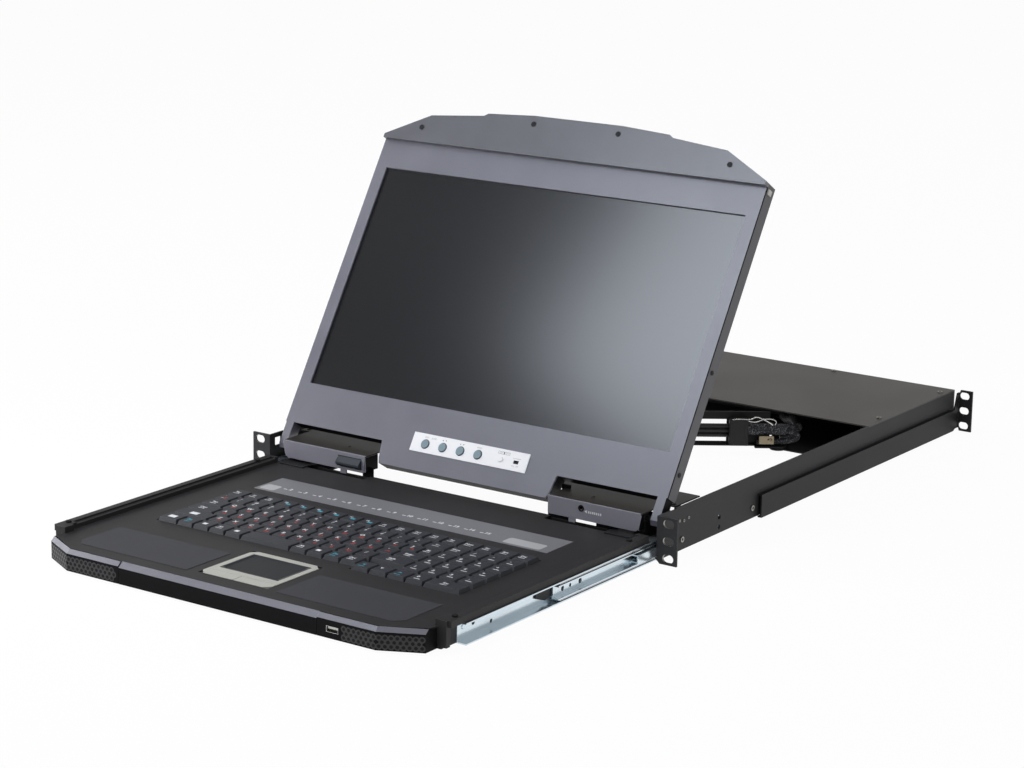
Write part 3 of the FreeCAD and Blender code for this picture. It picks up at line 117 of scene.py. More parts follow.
class Wiring:
    """The node tree of a material or of the world."""

    def __init__(self, tree):
        self.tree = tree

    def feed(self, socket, value):
        """Link a tone to a socket, or set the socket to a plain value."""
        if isinstance(value, Tone):
            self.tree.links.new(value.socket, socket)
        else:
            socket.default_value = value

    def node(self, kind, settings=None, values=None, out=0):
        """Add a node: its type, its settings, what its sockets get, and the output that is used."""
        made = self.tree.nodes.new(kind)
        for name, setting in (settings or {}).items():
            if name == "stops":
                while len(made.color_ramp.elements) < len(setting):
                    made.color_ramp.elements.new(1.0)
                for element, (spot, grey) in zip(made.color_ramp.elements, setting):
                    element.position, element.color = spot, (grey, grey, grey, 1)
            else:
                setattr(made, name, setting)
        for name, value in (values or {}).items():
            self.feed(made.inputs[name], value)
        return Tone(self, made.outputs[out])

    def mixed(self, mask, first, second):
        """The first colour where the mask is 0, the second where it is 1."""
        return self.node("ShaderNodeMix", {"data_type": "RGBA"}, {0: mask, 6: first, 7: second}, out=2)


bpy.context.scene.view_settings.view_transform = "Standard"
world = bpy.data.worlds.new("studio")
bpy.context.scene.world = world
world.use_nodes = True
sky = Wiring(world.node_tree)
seen = sky.node("ShaderNodeLightPath", out="Is Camera Ray")
mirrored = sky.node("ShaderNodeLightPath", out="Is Glossy Ray").most(
    sky.node("ShaderNodeLightPath", out="Is Transmission Ray"))
upward = sky.node("ShaderNodeTexCoord", out="Generated")
height = sky.node("ShaderNodeSeparateXYZ", values={0: upward}, out="Z")
CEILING_GREYS = [(0.0, 1.0), (0.16, 0.85), (0.5, 0.16), (1.0, 0.1)]
ceiling = sky.node("ShaderNodeValToRGB", {"stops": CEILING_GREYS}, {0: height})
ambient = sky.node("ShaderNodeBackground", values={"Color": (1, 1, 1, 1), "Strength": 0.3})
backdrop = sky.node("ShaderNodeBackground", values={
    "Color": sky.mixed(seen, ceiling, (1, 1, 1, 1)), "Strength": 1.0})
shown = sky.node("ShaderNodeMixShader", values={0: seen.most(mirrored), 1: ambient, 2: backdrop})
sky.feed(world.node_tree.nodes["World Output"].inputs["Surface"], shown)


def soft_box(name, place, towards, wide, tall, power, colour=(1, 1, 1)):
    """A lamp with a wide even face, in metres and watts, that points towards a spot."""
    lamp = bpy.data.objects.new(name, bpy.data.lights.new(name, "AREA"))
    bpy.context.scene.collection.objects.link(lamp)
    lamp.data.shape = "RECTANGLE"
    lamp.data.size, lamp.data.size_y = wide, tall
    lamp.data.energy = power
    lamp.data.color = colour
    lamp.location = place
    lamp.rotation_mode = "QUATERNION"
    lamp.rotation_quaternion = (Vector(towards) - Vector(place)).to_track_quat("-Z", "Y")


soft_box("left_box", (-2.4, -0.35, 1.5), (0, 0, 0.1), wide=1.0, tall=1.0, power=20)
soft_box("low_box", (-0.56, -0.47, 0.2), (-0.15, -0.05, 0.05), wide=0.3, tall=0.3, power=1.25)
soft_box("top_box", (-0.3, -0.1, 2.9), (0, 0.1, 0.1), wide=1.2, tall=1.2, power=18)
soft_box("near_box", (-0.34, -0.58, 1.02), (0.17, 0.1, 0.2), wide=0.4, tall=0.5, power=3.8,
         colour=(0.88, 0.95, 1.06))
soft_box("right_fill", (2.4, -0.9, 1.2), (0, 0.0, 0.1), wide=1.2, tall=1.2, power=9)

FLOOR_REACH, FLOOR_GAP = 9, 0.0005
floor_low = packed_box[0].z - FLOOR_GAP
floor_corners = [(side * FLOOR_REACH, end * FLOOR_REACH, floor_low)
                 for side, end in ((-1, -1), (1, -1), (1, 1), (-1, 1))]
floor_mesh = bpy.data.meshes.new("floor")
floor_mesh.from_pydata(floor_corners, [], [(0, 1, 2, 3)])
floor = bpy.data.objects.new("floor", floor_mesh)
bpy.context.scene.collection.objects.link(floor)
sweep = bpy.data.materials.new("sweep")
sweep.use_nodes = True
paper = Wiring(sweep.node_tree)
matt = paper.node("ShaderNodeBsdfDiffuse", values={"Color": (0.9, 0.9, 0.9, 1)})
glow = paper.node("ShaderNodeEmission", values={"Color": (1, 1, 1, 1), "Strength": 1.0})
viewed = paper.node("ShaderNodeLightPath", out="Is Camera Ray")
for ray in ("Is Glossy Ray", "Is Transmission Ray"):
    viewed = viewed.most(paper.node("ShaderNodeLightPath", out=ray))
# Looked at, straight or in a mirror, the sweep is nearly all white glow, and the rest of it
# takes the console's shadow.
GLOW_SHARE = 0.96
paper.feed(sweep.node_tree.nodes["Material Output"].inputs["Surface"],
           paper.node("ShaderNodeMixShader", values={0: viewed * GLOW_SHARE, 1: matt, 2: glow}))
floor.data.materials.append(sweep)


# ---------------------------------------------------------------- side panels
# Folded steel sides with the front rack ears, powder coated black.
# The coat has a fine orange peel, and its edges carry a painted highlight.
def linear(*levels):
    """A colour given as 0 to 255 screen levels, for a shader."""
    return tuple((level / 255 / 12.92) if level <= 10 else ((level / 255 + 0.055) / 1.055) ** 2.4
                 for level in levels) + (1.0,)


# The radius that sharp edges show, in metres, and how strongly they are told from flats.
EDGE_RADIUS, EDGE_GAIN = 0.0004, 9.0


class Finish(Wiring):
    """A finish on the console: a material with one principled shader."""

    def __init__(self, name, **constants):
        self.material = bpy.data.materials.new(name)
        self.material.use_nodes = True
        super().__init__(self.material.node_tree)
        self.shader = self.tree.nodes["Principled BSDF"]
        self.spot = self.node("ShaderNodeTexCoord", out="Object")
        for socket, value in constants.items():
            self.give(socket.replace("_", " "), value)

    def give(self, socket, value):
        """Feed one socket of the shader."""
        self.feed(self.shader.inputs[socket], value)

    def stretched(self, x, y, z):
        """The place on the object, in metres, times a factor along each axis."""
        return self.node("ShaderNodeVectorMath", {"operation": "MULTIPLY"}, {0: self.spot, 1: (x, y, z)})

    def noise(self, scale, detail=2.0, roughness=0.5, spot=None):
        """An even cloudy pattern. scale is in repeats per metre."""
        return self.node("ShaderNodeTexNoise", None, {
            "Vector": spot or self.spot, "Scale": scale, "Detail": detail, "Roughness": roughness})

    def rounded(self):
        """The normal with every sharp edge rounded off."""
        return self.node("ShaderNodeBevel", {"samples": 4}, {"Radius": EDGE_RADIUS})

    def edges(self, rounded):
        """1 on sharp edges and 0 on flats."""
        flat = self.node("ShaderNodeNewGeometry", out="Normal")
        along = self.node("ShaderNodeVectorMath", {"operation": "DOT_PRODUCT"},
                          {0: rounded, 1: flat}, out="Value")
        return ((1.0 - along) * EDGE_GAIN).least(1.0)

    def relief(self, height, depth, normal):
        """A fine relief of a given depth in metres, on the normal."""
        self.give("Normal", self.node("ShaderNodeBump", None, {
            "Height": height, "Strength": 1.0, "Distance": depth, "Normal": normal}))


def powder_coat(name, colour, highlight_and_mottle, rough, gloss):
    """Powder coat on steel: orange peel, a slightly uneven sheen, and a painted highlight that lightens its
    edges.
    """
    coat = Finish(name, Specular_IOR_Level=gloss)
    normal = coat.rounded()
    edge = coat.edges(normal)
    cloud = coat.noise(14.0, detail=3.0)
    # The edges are lightened towards the second colour as a painted highlight, and a faint cloud varies the
    # tone at random.
    edge_highlight_and_mottle = edge * 0.6 + cloud * 0.12
    coat.give("Base Color", coat.mixed(edge_highlight_and_mottle, linear(*colour), linear(*highlight_and_mottle)))
    coat.give("Roughness", cloud * 0.12 + (rough - 0.06) - edge * 0.08)
    peel = coat.noise(1900.0, detail=1.0)
    coat.relief(peel, depth=0.00006, normal=normal)
    return coat


def dress(finish, *names):
    """Put a finish on CAD nodes as they are."""
    for name in names:
        for slot in frame["nodes"][name].material_slots:
            slot.material = finish.material


black_powder = powder_coat("black_powder", (42, 42, 44), (96, 97, 100), rough=0.52, gloss=0.22)
dress(black_powder, "side_panel_left", "side_panel_right")

# ---------------------------------------------------------------- rear brackets
# Black powder coated channels that slide on the side panels and carry the rear ears,
# so that the console fits racks of different depth.
bracket_powder = powder_coat("bracket_powder", (24, 24, 26), (98, 99, 102), rough=0.48, gloss=0.18)
dress(bracket_powder, "rear_bracket_left", "rear_bracket_right")

# ---------------------------------------------------------------- rear housing
# Floor, partition and back wall of folded black sheet under a flat lid, whose satin coat
# mirrors the room softly.
dress(black_powder, "rear_box_base")
lid_coat = powder_coat("lid_coat", (58, 54, 49), (110, 108, 104), rough=0.42, gloss=0.5)
dress(lid_coat, "rear_box_cover")

# ---------------------------------------------------------------- inside the rear housing
# A green printed circuit board, a power supply in a zinc plated can, and the sockets and
# the rocker switch that reach through the back wall.
board_lacquer = Finish("board_lacquer", Specular_IOR_Level=0.5)
tracks = board_lacquer.node("ShaderNodeTexBrick", {"offset": 0.35}, {
    "Vector": board_lacquer.spot, "Scale": 160.0, "Mortar Size": 0.03}, out="Fac")
copper = board_lacquer.noise(260.0) * 0.3 + tracks * 0.4
board_lacquer.give("Base Color", board_lacquer.mixed(copper, linear(16, 62, 40), linear(60, 120, 78)))
board_lacquer.give("Roughness", 0.38)
dress(board_lacquer, "switch_board", "tray_board")


def zinc_plate(name, colour, rough):
    """Blue passivated zinc on rolled steel, with faint streaks along the rolling direction and a faint
    painted highlight on its edges.
    """
    plate = Finish(name, Metallic=0.92)
    normal = plate.rounded()
    streak = plate.noise(1.0, detail=3.0, roughness=0.6, spot=plate.stretched(900.0, 14.0, 900.0))
    stain = plate.noise(22.0, detail=4.0, roughness=0.6)
    edge = plate.edges(normal)
    # Streaks and stains darken the zinc at random, and the edges are kept lighter as a painted highlight.
    mottle_and_edge_highlight = streak * 0.5 + stain * 0.5 - edge * 0.2
    darker = [level * 0.84 for level in colour]
    plate.give("Base Color", plate.mixed(mottle_and_edge_highlight, linear(*colour), linear(*darker)))
    plate.give("Roughness", streak * 0.12 + stain * 0.1 + (rough - 0.1))
    plate.relief(streak, depth=0.00003, normal=normal)
    return plate


zinc_can = zinc_plate("zinc_can", (176, 178, 182), rough=0.4)
dress(zinc_can, "power_supply")


def moulded(name, colour, highlight_and_grain_colour, rough, gloss, grain=1400.0, depth=0.00005):
    """Moulded plastic with a fine even texture, and a painted highlight along its edges."""
    plastic = Finish(name, Specular_IOR_Level=gloss)
    normal = plastic.rounded()
    cells = plastic.noise(grain, roughness=0.6)
    cloud = plastic.noise(24.0)
    # The second colour paints a highlight along the edges, and the grain and a faint cloud lean towards it
    # at random.
    edge_highlight_and_grain = plastic.edges(normal) * 0.5 + cells * 0.16 + cloud * 0.08
    plastic.give("Base Color", plastic.mixed(edge_highlight_and_grain, linear(*colour), linear(*highlight_and_grain_colour)))
    plastic.give("Roughness", cloud * 0.1 + cells * 0.08 + (rough - 0.09))
    plastic.relief(cells, depth=depth, normal=normal)
    return plastic


socket_black = moulded("socket_black", (22, 22, 23), (70, 70, 72), rough=0.45, gloss=0.4)
shell_steel = zinc_plate("shell_steel", (196, 196, 192), rough=0.25)
dress(socket_black, "power_switch", "rear_connectors")


def part_faces(name, finish, wanted):
    """Give some faces of a CAD node another finish. wanted looks at a face's normal and middle."""
    mesh = frame["nodes"][name].data
    mesh.materials.append(finish.material)
    for face in mesh.polygons:
        if wanted(face.normal, face.center):
            face.material_index = len(mesh.materials) - 1


# The mains inlet is all plastic. The sockets to its right have bright metal shells.
INLET_SIDE = -0.03
part_faces("rear_connectors", shell_steel, lambda normal, middle: (
    middle.x > INLET_SIDE and abs(normal.y) < 0.5))

# ---------------------------------------------------------------- screws of the housing
# Small pan head screws and rivets, dark nickel plated, that close the lid and the sides.
# The holes in the front ears wear bare in the same colour.
nickel = zinc_plate("nickel", (168, 164, 156), rough=0.3)
dress(nickel, "chassis_screws")
# The walls of those holes lie between these distances across, along and up the console.
EAR_HOLES = (0.2255, 0.2395), (0.0003, 0.0017), (0.003, 0.0415)
for name in ("side_panel_left", "side_panel_right"):
    part_faces(name, nickel, lambda normal, middle: all(
        low < abs(part) < high for part, (low, high) in zip(middle, EAR_HOLES)))
# This near black is painted shade: the crosses in screw heads, the pits of the grip dimples and the seam
# between the touchpad buttons are dark pieces standing for the shade in them. The ring round the jack is
# this black too.
shade_and_jack_black = moulded("shade_and_jack_black", (14, 14, 14), (40, 40, 40), rough=0.6, gloss=0.2)


def solids_of(name):
    """The low and high corner of each separate solid of a CAD node, from left to right."""
    shape = bmesh.new()
    shape.from_mesh(frame["nodes"][name].data)
    bmesh.ops.remove_doubles(shape, verts=shape.verts, dist=1e-6)
    shape.verts.ensure_lookup_table()
    left, boxes = set(shape.verts), []
    while left:
        group, front = [], [left.pop()]
        while front:
            vert = front.pop()
            group.append(vert.co)
            for edge in vert.link_edges:
                other = edge.other_vert(vert)
                if other in left:
                    left.remove(other)
                    front.append(other)
        boxes.append((Vector([min(spot[i] for spot in group) for i in range(3)]),
                      Vector([max(spot[i] for spot in group) for i in range(3)])))
    shape.free()
    return sorted(boxes, key=lambda box: (round(box[0].x, 4), box[0].y))


def add_box(shape, low, high, place=Matrix()):
    """A closed block between two corners, in the frame of place."""
    middle = (Vector(low) + Vector(high)) / 2
    size = Vector(high) - Vector(low)
    block = place @ Matrix.Translation(middle) @ Matrix.Diagonal(size).to_4x4()
    bmesh.ops.create_cube(shape, size=1.0, matrix=block)


def new_piece(name, shape, body, slot, *finishes):
    """Turn a finished shape into a piece that rides on a body."""
    bmesh.ops.recalc_face_normals(shape, faces=shape.faces)
    mesh = bpy.data.meshes.new(name)
    shape.to_mesh(mesh)
    shape.free()
    made = bpy.data.objects.new(name, mesh)
    bpy.context.scene.collection.objects.link(made)
    for finish in finishes:
        mesh.materials.append(finish.material)
    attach(made, body)
    return made


def looking(direction, spot):
    """A frame at a spot whose Z axis points along a direction."""
    turned = Vector(direction).to_track_quat("Z", "Y").to_matrix().to_4x4()
    return Matrix.Translation(spot) @ turned


# Shares of a head's width: how tall a head is at most, and half the cross's length and width.
HEAD_TALL, CROSS_LONG, CROSS_WIDE = 0.55, 0.26, 0.11
CROSS_SUNK, CROSS_PROUD = -0.0003, 0.00004


def paint_cross_shades(piece_name, node_name, body):
    """A dark cross in the head of every screw that stands square to the housing: painted shade for its
    recess.
    """
    shape = bmesh.new()
    for low, high in solids_of(node_name):
        size, middle = high - low, (low + high) / 2
        thin = min(range(3), key=lambda axis: size[axis])
        # Heads on a level face look up, and the others look outward.
        side = 1 if thin == 2 or middle[thin] > 0 else -1
        across = min(size[axis] for axis in range(3) if axis != thin)
        if size[thin] > HEAD_TALL * across:
            continue
        direction = Vector([side if axis == thin else 0 for axis in range(3)])
        middle[thin] = high[thin] if side > 0 else low[thin]
        place = looking(direction, middle)
        arm, wide = CROSS_LONG * across, CROSS_WIDE * across
        for long, short in ((arm, wide), (wide, arm)):
            add_box(shape, (-long, -short, CROSS_SUNK), (long, short, CROSS_PROUD), place)
    new_piece(piece_name, shape, body, "plastic_black", shade_and_jack_black)


paint_cross_shades("screw_cross_shades", "chassis_screws", "chassis")

# ---------------------------------------------------------------- ball slides
# Two telescopic slides of zinc plated strip. Steel balls in two pressed strips run between
# the members, and a black lever on the drawer member lets it go.
zinc = zinc_plate("zinc", (234, 247, 255), rough=0.2)
dress(zinc, "slide_drawer_left", "slide_drawer_right", "slide_cabinet_left", "slide_cabinet_right",
      "slide_middles")
ball_steel = zinc_plate("ball_steel", (200, 202, 206), rough=0.15)
dress(ball_steel, "ball_rows_outer", "ball_rows_inner")
lever_black = moulded("lever_black", (18, 18, 19), (60, 60, 62), rough=0.5, gloss=0.35)
dress(lever_black, "slide_levers")

# ---------------------------------------------------------------- tray
# A black steel pan carries a moulded deck with raised side rails. The deck has a fine
# spark texture, and the palm rests beside the touchpad are coarser and a little bluer.
dress(black_powder, "tray_base")
deck_plastic = moulded("deck_plastic", (41, 40, 41), (84, 83, 84), rough=0.5, gloss=0.2)
dress(deck_plastic, "tray_top")
palm_grain = moulded("palm_grain", (54, 54, 58), (80, 80, 86),
                     rough=0.62, gloss=0.36, grain=900.0, depth=0.00012)
dress(palm_grain, "palm_rests")

# ---------------------------------------------------------------- front bezel
# Three moulded pieces along the front edge, black below, with a satin lilac grey on the bevel above that is
# a painted reflection of the room. A network of dimples gives grip on the corners, and the right one holds
# a socket.
bezel_black = moulded("bezel_black", (10, 10, 11), (52, 52, 56), rough=0.5, gloss=0.06)
bevel_painted_reflection = moulded("bevel_painted_reflection", (102, 101, 111), (180, 180, 190), rough=0.34, gloss=0.5)
dress(bezel_black, "front_bezel", "bezel_corners")
# The lilac grey on the faces that slope up and forward is a painted reflection.
for name in ("front_bezel", "bezel_corners"):
    part_faces(name, bevel_painted_reflection, lambda normal, middle: (
        0.4 < normal.z < 0.9 and normal.y < -0.3))
dress(shell_steel, "usb_port")
cup_edge = moulded("cup_edge", (34, 34, 36), (64, 64, 68), rough=0.36, gloss=0.4)


def flat_areas(name, wanted):
    """The flat areas of a CAD node: for each normal, its triangles as lists of corners."""
    mesh = frame["nodes"][name].data
    areas = {}
    for face in mesh.polygons:
        if wanted(face.normal, face.center):
            key = tuple(round(part, 2) for part in face.normal) + (face.center.x > 0,)
            areas.setdefault(key, []).append([mesh.vertices[i].co.copy() for i in face.vertices])
    return areas


def inside(spot, area, margin):
    """Whether a spot lies on an area at least a margin away from its rim."""
    rim, held = {}, False
    for corners in area:
        sides = list(zip(corners, corners[1:] + corners[:1]))
        normal = (corners[1] - corners[0]).cross(corners[2] - corners[0])
        held = held or all((b - a).cross(spot - a).dot(normal) >= 0 for a, b in sides)
        for a, b in sides:
            key = tuple(sorted((tuple(round(c, 5) for c in a), tuple(round(c, 5) for c in b))))
            rim[key] = rim.get(key, 0) + 1
    if not held:
        return False
    for (a, b), count in rim.items():
        if count == 1:
            a, b = Vector(a), Vector(b)
            share = max(0.0, min(1.0, (spot - a).dot(b - a) / max((b - a).length_squared, 1e-12)))
            if (a + (b - a) * share - spot).length < margin:
                return False
    return True


def add_turned(shape, outline, place, steps):
    """A turned form. outline gives (radius, height) along the outside of its section."""
    rings = []
    for radius, height in outline:
        count = 1 if radius == 0 else steps
        angles = [2 * math.pi * i / count for i in range(count)]
        rings.append([shape.verts.new(place @ Vector((
            radius * math.cos(angle), radius * math.sin(angle), height))) for angle in angles])
    for low, high in zip(rings, rings[1:]):
        for i in range(steps):
            j = (i + 1) % steps
            corners = [low[i % len(low)], low[j % len(low)], high[j % len(high)], high[i % len(high)]]
            shape.faces.new(list(dict.fromkeys(corners)))


# The dimples stand in staggered rows, clear of the rims, the middle piece and the socket.
CUP_PITCH, CUP_RADIUS, ROW_SHARE = 0.0050, 0.0016, 0.72
CUP_ROWS, CUP_COLUMNS = 8, 30
RIM_ROOM, PORT_ROOM, MIDDLE_REACH, LEAST_AREA = 0.0020, 0.004, 0.1125, 0.0002
# Shares of the cup's radius, with heights: a low lip, and a dark disc inside it that is painted shade for
# the pit.
CUP_LIP = (0, -0.0002), (1.75, -0.0002), (1.75, 0.00001), (1.25, 0.00004), (0.95, 0.00002), (0, 0.00001)
CUP_PIT_SHADE = (0, -0.0001), (0.97, -0.0001), (0.97, 0.00006), (0, 0.00005)
cups, pit_shades = bmesh.new(), bmesh.new()
port_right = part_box("usb_port")[1].x
for key, area in flat_areas("bezel_corners", lambda normal, middle: (
        abs(normal.z) < 0.4 and normal.y < -0.3)).items():
    if sum((c[1] - c[0]).cross(c[2] - c[0]).length / 2 for c in area) < LEAST_AREA:
        continue
    origin, on_right = area[0][0], key[3]
    normal = (area[0][1] - origin).cross(area[0][2] - origin).normalized()
    along = Vector((0, 0, 1)).cross(normal).normalized()
    up = normal.cross(along)
    for row in range(-CUP_ROWS, CUP_ROWS + 1):
        for column in range(-CUP_COLUMNS, CUP_COLUMNS + 1):
            spot = (origin + along * (column + 0.5 * (row % 2)) * CUP_PITCH
                    + up * row * CUP_PITCH * ROW_SHARE)
            near_port = on_right and spot.x < port_right + PORT_ROOM
            if near_port or abs(spot.x) < MIDDLE_REACH or not inside(spot, area, RIM_ROOM):
                continue
            for shape, profile in ((cups, CUP_LIP), (pit_shades, CUP_PIT_SHADE)):
                outline = [(CUP_RADIUS * share, height) for share, height in profile]
                add_turned(shape, outline, looking(normal, spot), steps=14)
new_piece("grip_cups", cups, "drawer", "plastic_black", cup_edge)
new_piece("grip_pit_shades", pit_shades, "drawer", "plastic_black", shade_and_jack_black)

# ---------------------------------------------------------------- keyboard
# Low black key caps over a steel plate, printed with white letters and red second signs.
# Each row of caps moves on its own, and its print rides with it.
dress(black_powder, "keyboard_frame")
key_plastic = moulded("key_plastic", (42, 43, 47), (100, 102, 112), rough=0.5, gloss=0.3)
# The first and the second signs of the caps, from left to right. 0 in a second list is no
# sign, # is a plain block, and a stop in the function row is a numbered key with a teal sign.
KEY_MARKS = {
    "keys_function": ("Esc F1 F2 . . . . . . F9 F10 F11 F12 Ins Num Scr Brk Del",
                      "0 0 0 0 0 0 0 0 0 0 0 0 0 0 0 0 0 0"),
    "keys_number": ("~` 1! 2@ 3# 4$ 5% 6^ 7& 8* 9( 0) -_ =+ <-- Num / * -",
                    "Ё 0 0 0 0 0 0 0 0 0 0 0 0 0 0 0 0 0"),
    "keys_upper": ("Tab Q W E R T Y U I O P [ ] Bk 7 8 9 +", "0 Й Ц У К Е Н Г Ш Щ З Х Ъ 0 0 0 0 0"),
    "keys_home": ("Caps A S D F G H J K L ; ' Enter 4 5 6 +", "0 Ф Ы В А П Р О Л Д Ж Э 0 0 0 0 0"),
    "keys_shift": ("Shift Z X C V B N M , . / Shift 1 2 3 .", "0 Я Ч С М И Т Ь Б Ю . 0 0 0 0 0"),
    "keys_bottom": ("Ctrl Fn # Alt # Alt # Fn Ctrl < v > 0 Ent", "0 0 0 0 0 0 0 0 0 0 0 0 0 0"),
}
dress(key_plastic, "space_bar", *KEY_MARKS)


def ink(name, colour, highlight_and_grain_colour, rough=0.55):
    """Printing ink: matt, with hardly any texture."""
    return moulded(name, colour, highlight_and_grain_colour, rough, gloss=0.3, grain=3000.0, depth=0.00001)


ink_white = ink("ink_white", (222, 224, 228), (250, 250, 252))
ink_red = ink("ink_red", (196, 62, 58), (226, 110, 100))
ink_teal = ink("ink_teal", (58, 156, 180), (120, 200, 214))

# How thick the ink is and how deep its foot sits, and the share of a font's size that a
# capital letter is tall.
INK_THICK, INK_SUNK, CAPITAL = 0.00004, 0.00001, 0.73


class Print:
    """Marks of ink on one plane, gathered into one thin piece. Places are in metres on the plane."""

    def __init__(self, plane):
        self.shape, self.plane = bmesh.new(), plane

    def word(self, text, x, y, tall, heavy=0.0):
        """A word round a place. heavy thickens its strokes."""
        line = bpy.data.curves.new("word", "FONT")
        line.body, line.size = text, tall / CAPITAL
        line.align_x, line.align_y = "CENTER", "CENTER"
        line.extrude, line.offset, line.resolution_u = INK_THICK / 2, heavy, 3
        holder = bpy.data.objects.new("word", line)
        mesh = bpy.data.meshes.new_from_object(holder)
        mesh.transform(self.plane @ Matrix.Translation((x, y, INK_THICK / 2)))
        self.shape.from_mesh(mesh)
        bpy.data.objects.remove(holder)
        bpy.data.curves.remove(line)
        bpy.data.meshes.remove(mesh)

    def bar(self, x, y, wide, tall):
        """A plain bar round a place."""
        add_box(self.shape, (x - wide / 2, y - tall / 2, 0), (x + wide / 2, y + tall / 2, INK_THICK),
                self.plane)

    def done(self, name, body, slot, finish):
        """Turn the marks into a piece."""
        bmesh.ops.remove_doubles(self.shape, verts=self.shape.verts, dist=1e-7)
        new_piece(name, self.shape, body, slot, finish)


# Keys to the right of this belong to the number pad.
PAD_START = 0.0945
for node_name, (firsts, seconds) in KEY_MARKS.items():
    row = node_name.replace("keys", "row")
    keys = solids_of(node_name)
    top = Matrix.Translation((0, 0, keys[0][1].z - INK_SUNK))
    white, red, teal = Print(top), Print(top), Print(top)
    for number, ((low, high), first, second) in enumerate(zip(keys, firsts.split(), seconds.split())):
        x, y = (low.x + high.x) / 2, (low.y + high.y) / 2
        wide = high.x - low.x
        if first == "#":
            white.bar(x - 0.0012, y + 0.0004, 0.0046, 0.0042)
        elif first == "." and node_name == "keys_function":
            white.word("F%d" % number, x - 0.0024, y + 0.0024, tall=0.0026, heavy=0.0001)
            teal.bar(x + 0.0016, y - 0.0006, 0.0050, 0.0030)
        elif first in ("Fn", "<", ">"):
            teal.word(first, x - 0.0016, y + 0.0012, tall=0.0042, heavy=0.0002)
            teal.bar(x - 0.0016, y - 0.0034, 0.0060, 0.0010)
        elif number == 0 and first in ("Ctrl", "Shift"):
            white.bar(x - 0.0002, y, 0.0090 if first == "Shift" else 0.0080, 0.0062)
        elif len(first) == 2 and node_name == "keys_number":
            white.word(first[1], x - 0.0026, y + 0.0026, tall=0.0030, heavy=0.0001)
            white.word(first[0], x - 0.0026, y - 0.0024, tall=0.0034, heavy=0.0001)
        elif len(first) > 1:
            aside = x - min(0.0022, wide / 8)
            white.word(first, aside, y + 0.0016, tall=0.0030, heavy=0.00014)
            white.bar(aside, y - 0.0022, 0.0070, 0.0009)
        elif x > PAD_START and node_name != "keys_function":
            white.word(first, x - 0.0024, y + 0.0024, tall=0.0036, heavy=0.0002)
            white.bar(x - 0.0002, y - 0.0030, 0.0062, 0.0012)
        else:
            white.word(first, x - 0.0024, y + 0.0026, tall=0.0042, heavy=0.0002)
        if second != "0":
            red.word(second, x + 0.0008, y - 0.0028, tall=0.0038, heavy=0.0001)
    white.done(row + "_print_white", row, "label_white", ink_white)
    for marks, colour, finish in ((red, "red", ink_red), (teal, "teal", ink_teal)):
        if len(marks.shape.verts):
            marks.done("%s_print_%s" % (row, colour), row, "label_white", finish)
        else:
            marks.shape.free()

# ---------------------------------------------------------------- touchpad
# A silver moulded frame set into the deck round a matt black pad. A glossy lip runs round
# the pad, and two silver buttons lie side by side along its front.
silver = moulded("silver", (176, 175, 166), (220, 220, 214), rough=0.42, gloss=0.5)
pad_black = moulded("pad_black", (34, 35, 38), (60, 61, 66), rough=0.55, gloss=0.35, grain=2400.0)
dress(silver, "touchpad_frame", "touchpad_button_left", "touchpad_button_right")
dress(pad_black, "touchpad_surface")
# The lip's light second colour paints highlights along its edges.
pad_rim_black = moulded("pad_rim_black", (26, 27, 30), (112, 114, 124), rough=0.3, gloss=0.5)
pad_low, pad_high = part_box("touchpad_surface")
button_low, button_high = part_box("touchpad_button_left")


def rounded_line(x, y, wide, tall, corner, steps):
    """The outline of a rectangle with rounded corners, as (x, y) pairs."""
    outline = []
    for quarter, (side, end) in enumerate(((1, 1), (-1, 1), (-1, -1), (1, -1))):
        for step in range(steps + 1):
            angle = math.pi / 2 * (quarter + step / steps)
            outline.append((x + side * (wide / 2 - corner) + corner * math.cos(angle),
                            y + end * (tall / 2 - corner) + corner * math.sin(angle)))
    return outline


# The lip's section: how far in from the pad's edge, and how high over its face.
LIP = ((-0.0001, -0.0006), (-0.0001, 0.0007), (0.0008, 0.0009), (0.0016, 0.0007),
       (0.0030, 0.00015), (0.0030, -0.0006))
LIP_CORNER, SEAM_HALF, SEAM_PROUD = 0.0034, 0.00022, 0.00002
pad_rim = bmesh.new()
pad_middle = (pad_low + pad_high) / 2
pad_size = pad_high - pad_low
loops = []
for inset, above in LIP:
    line = rounded_line(pad_middle.x, pad_middle.y, pad_size.x - 2 * inset, pad_size.y - 2 * inset,
                        LIP_CORNER - inset / 2, steps=6)
    loops.append([pad_rim.verts.new((x, y, pad_high.z + above)) for x, y in line])
for near, far in zip(loops, loops[1:] + loops[:1]):
    for i in range(len(near)):
        j = (i + 1) % len(near)
        pad_rim.faces.new((near[i], near[j], far[j], far[i]))
new_piece("touchpad_rim", pad_rim, "drawer", "plastic_gloss", pad_rim_black)
# A dark bar between the two buttons is painted shade for the gap between them.
seam_shade = bmesh.new()
add_box(seam_shade, (-SEAM_HALF, button_low.y, button_low.z),
        (SEAM_HALF, button_high.y, button_high.z + SEAM_PROUD))
new_piece("touchpad_seam_shade", seam_shade, "drawer", "plastic_black", shade_and_jack_black)

# ---------------------------------------------------------------- label strip
# A printed grey film glued to the deck behind the keyboard, with a row of small white
# signs and two lighter windows.
film = moulded("film", (118, 118, 122), (146, 146, 150), rough=0.4, gloss=0.4, grain=3000.0, depth=0.00002)
dress(film, "label_strip")
strip_top = Matrix.Translation((0, 0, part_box("label_strip")[1].z))
film_light = moulded("film_light", (176, 176, 178), (200, 200, 202),
                     rough=0.35, gloss=0.45, grain=3000.0, depth=0.00002)
film_dim = moulded("film_dim", (112, 112, 117), (132, 132, 136),
                   rough=0.4, gloss=0.4, grain=3000.0, depth=0.00002)


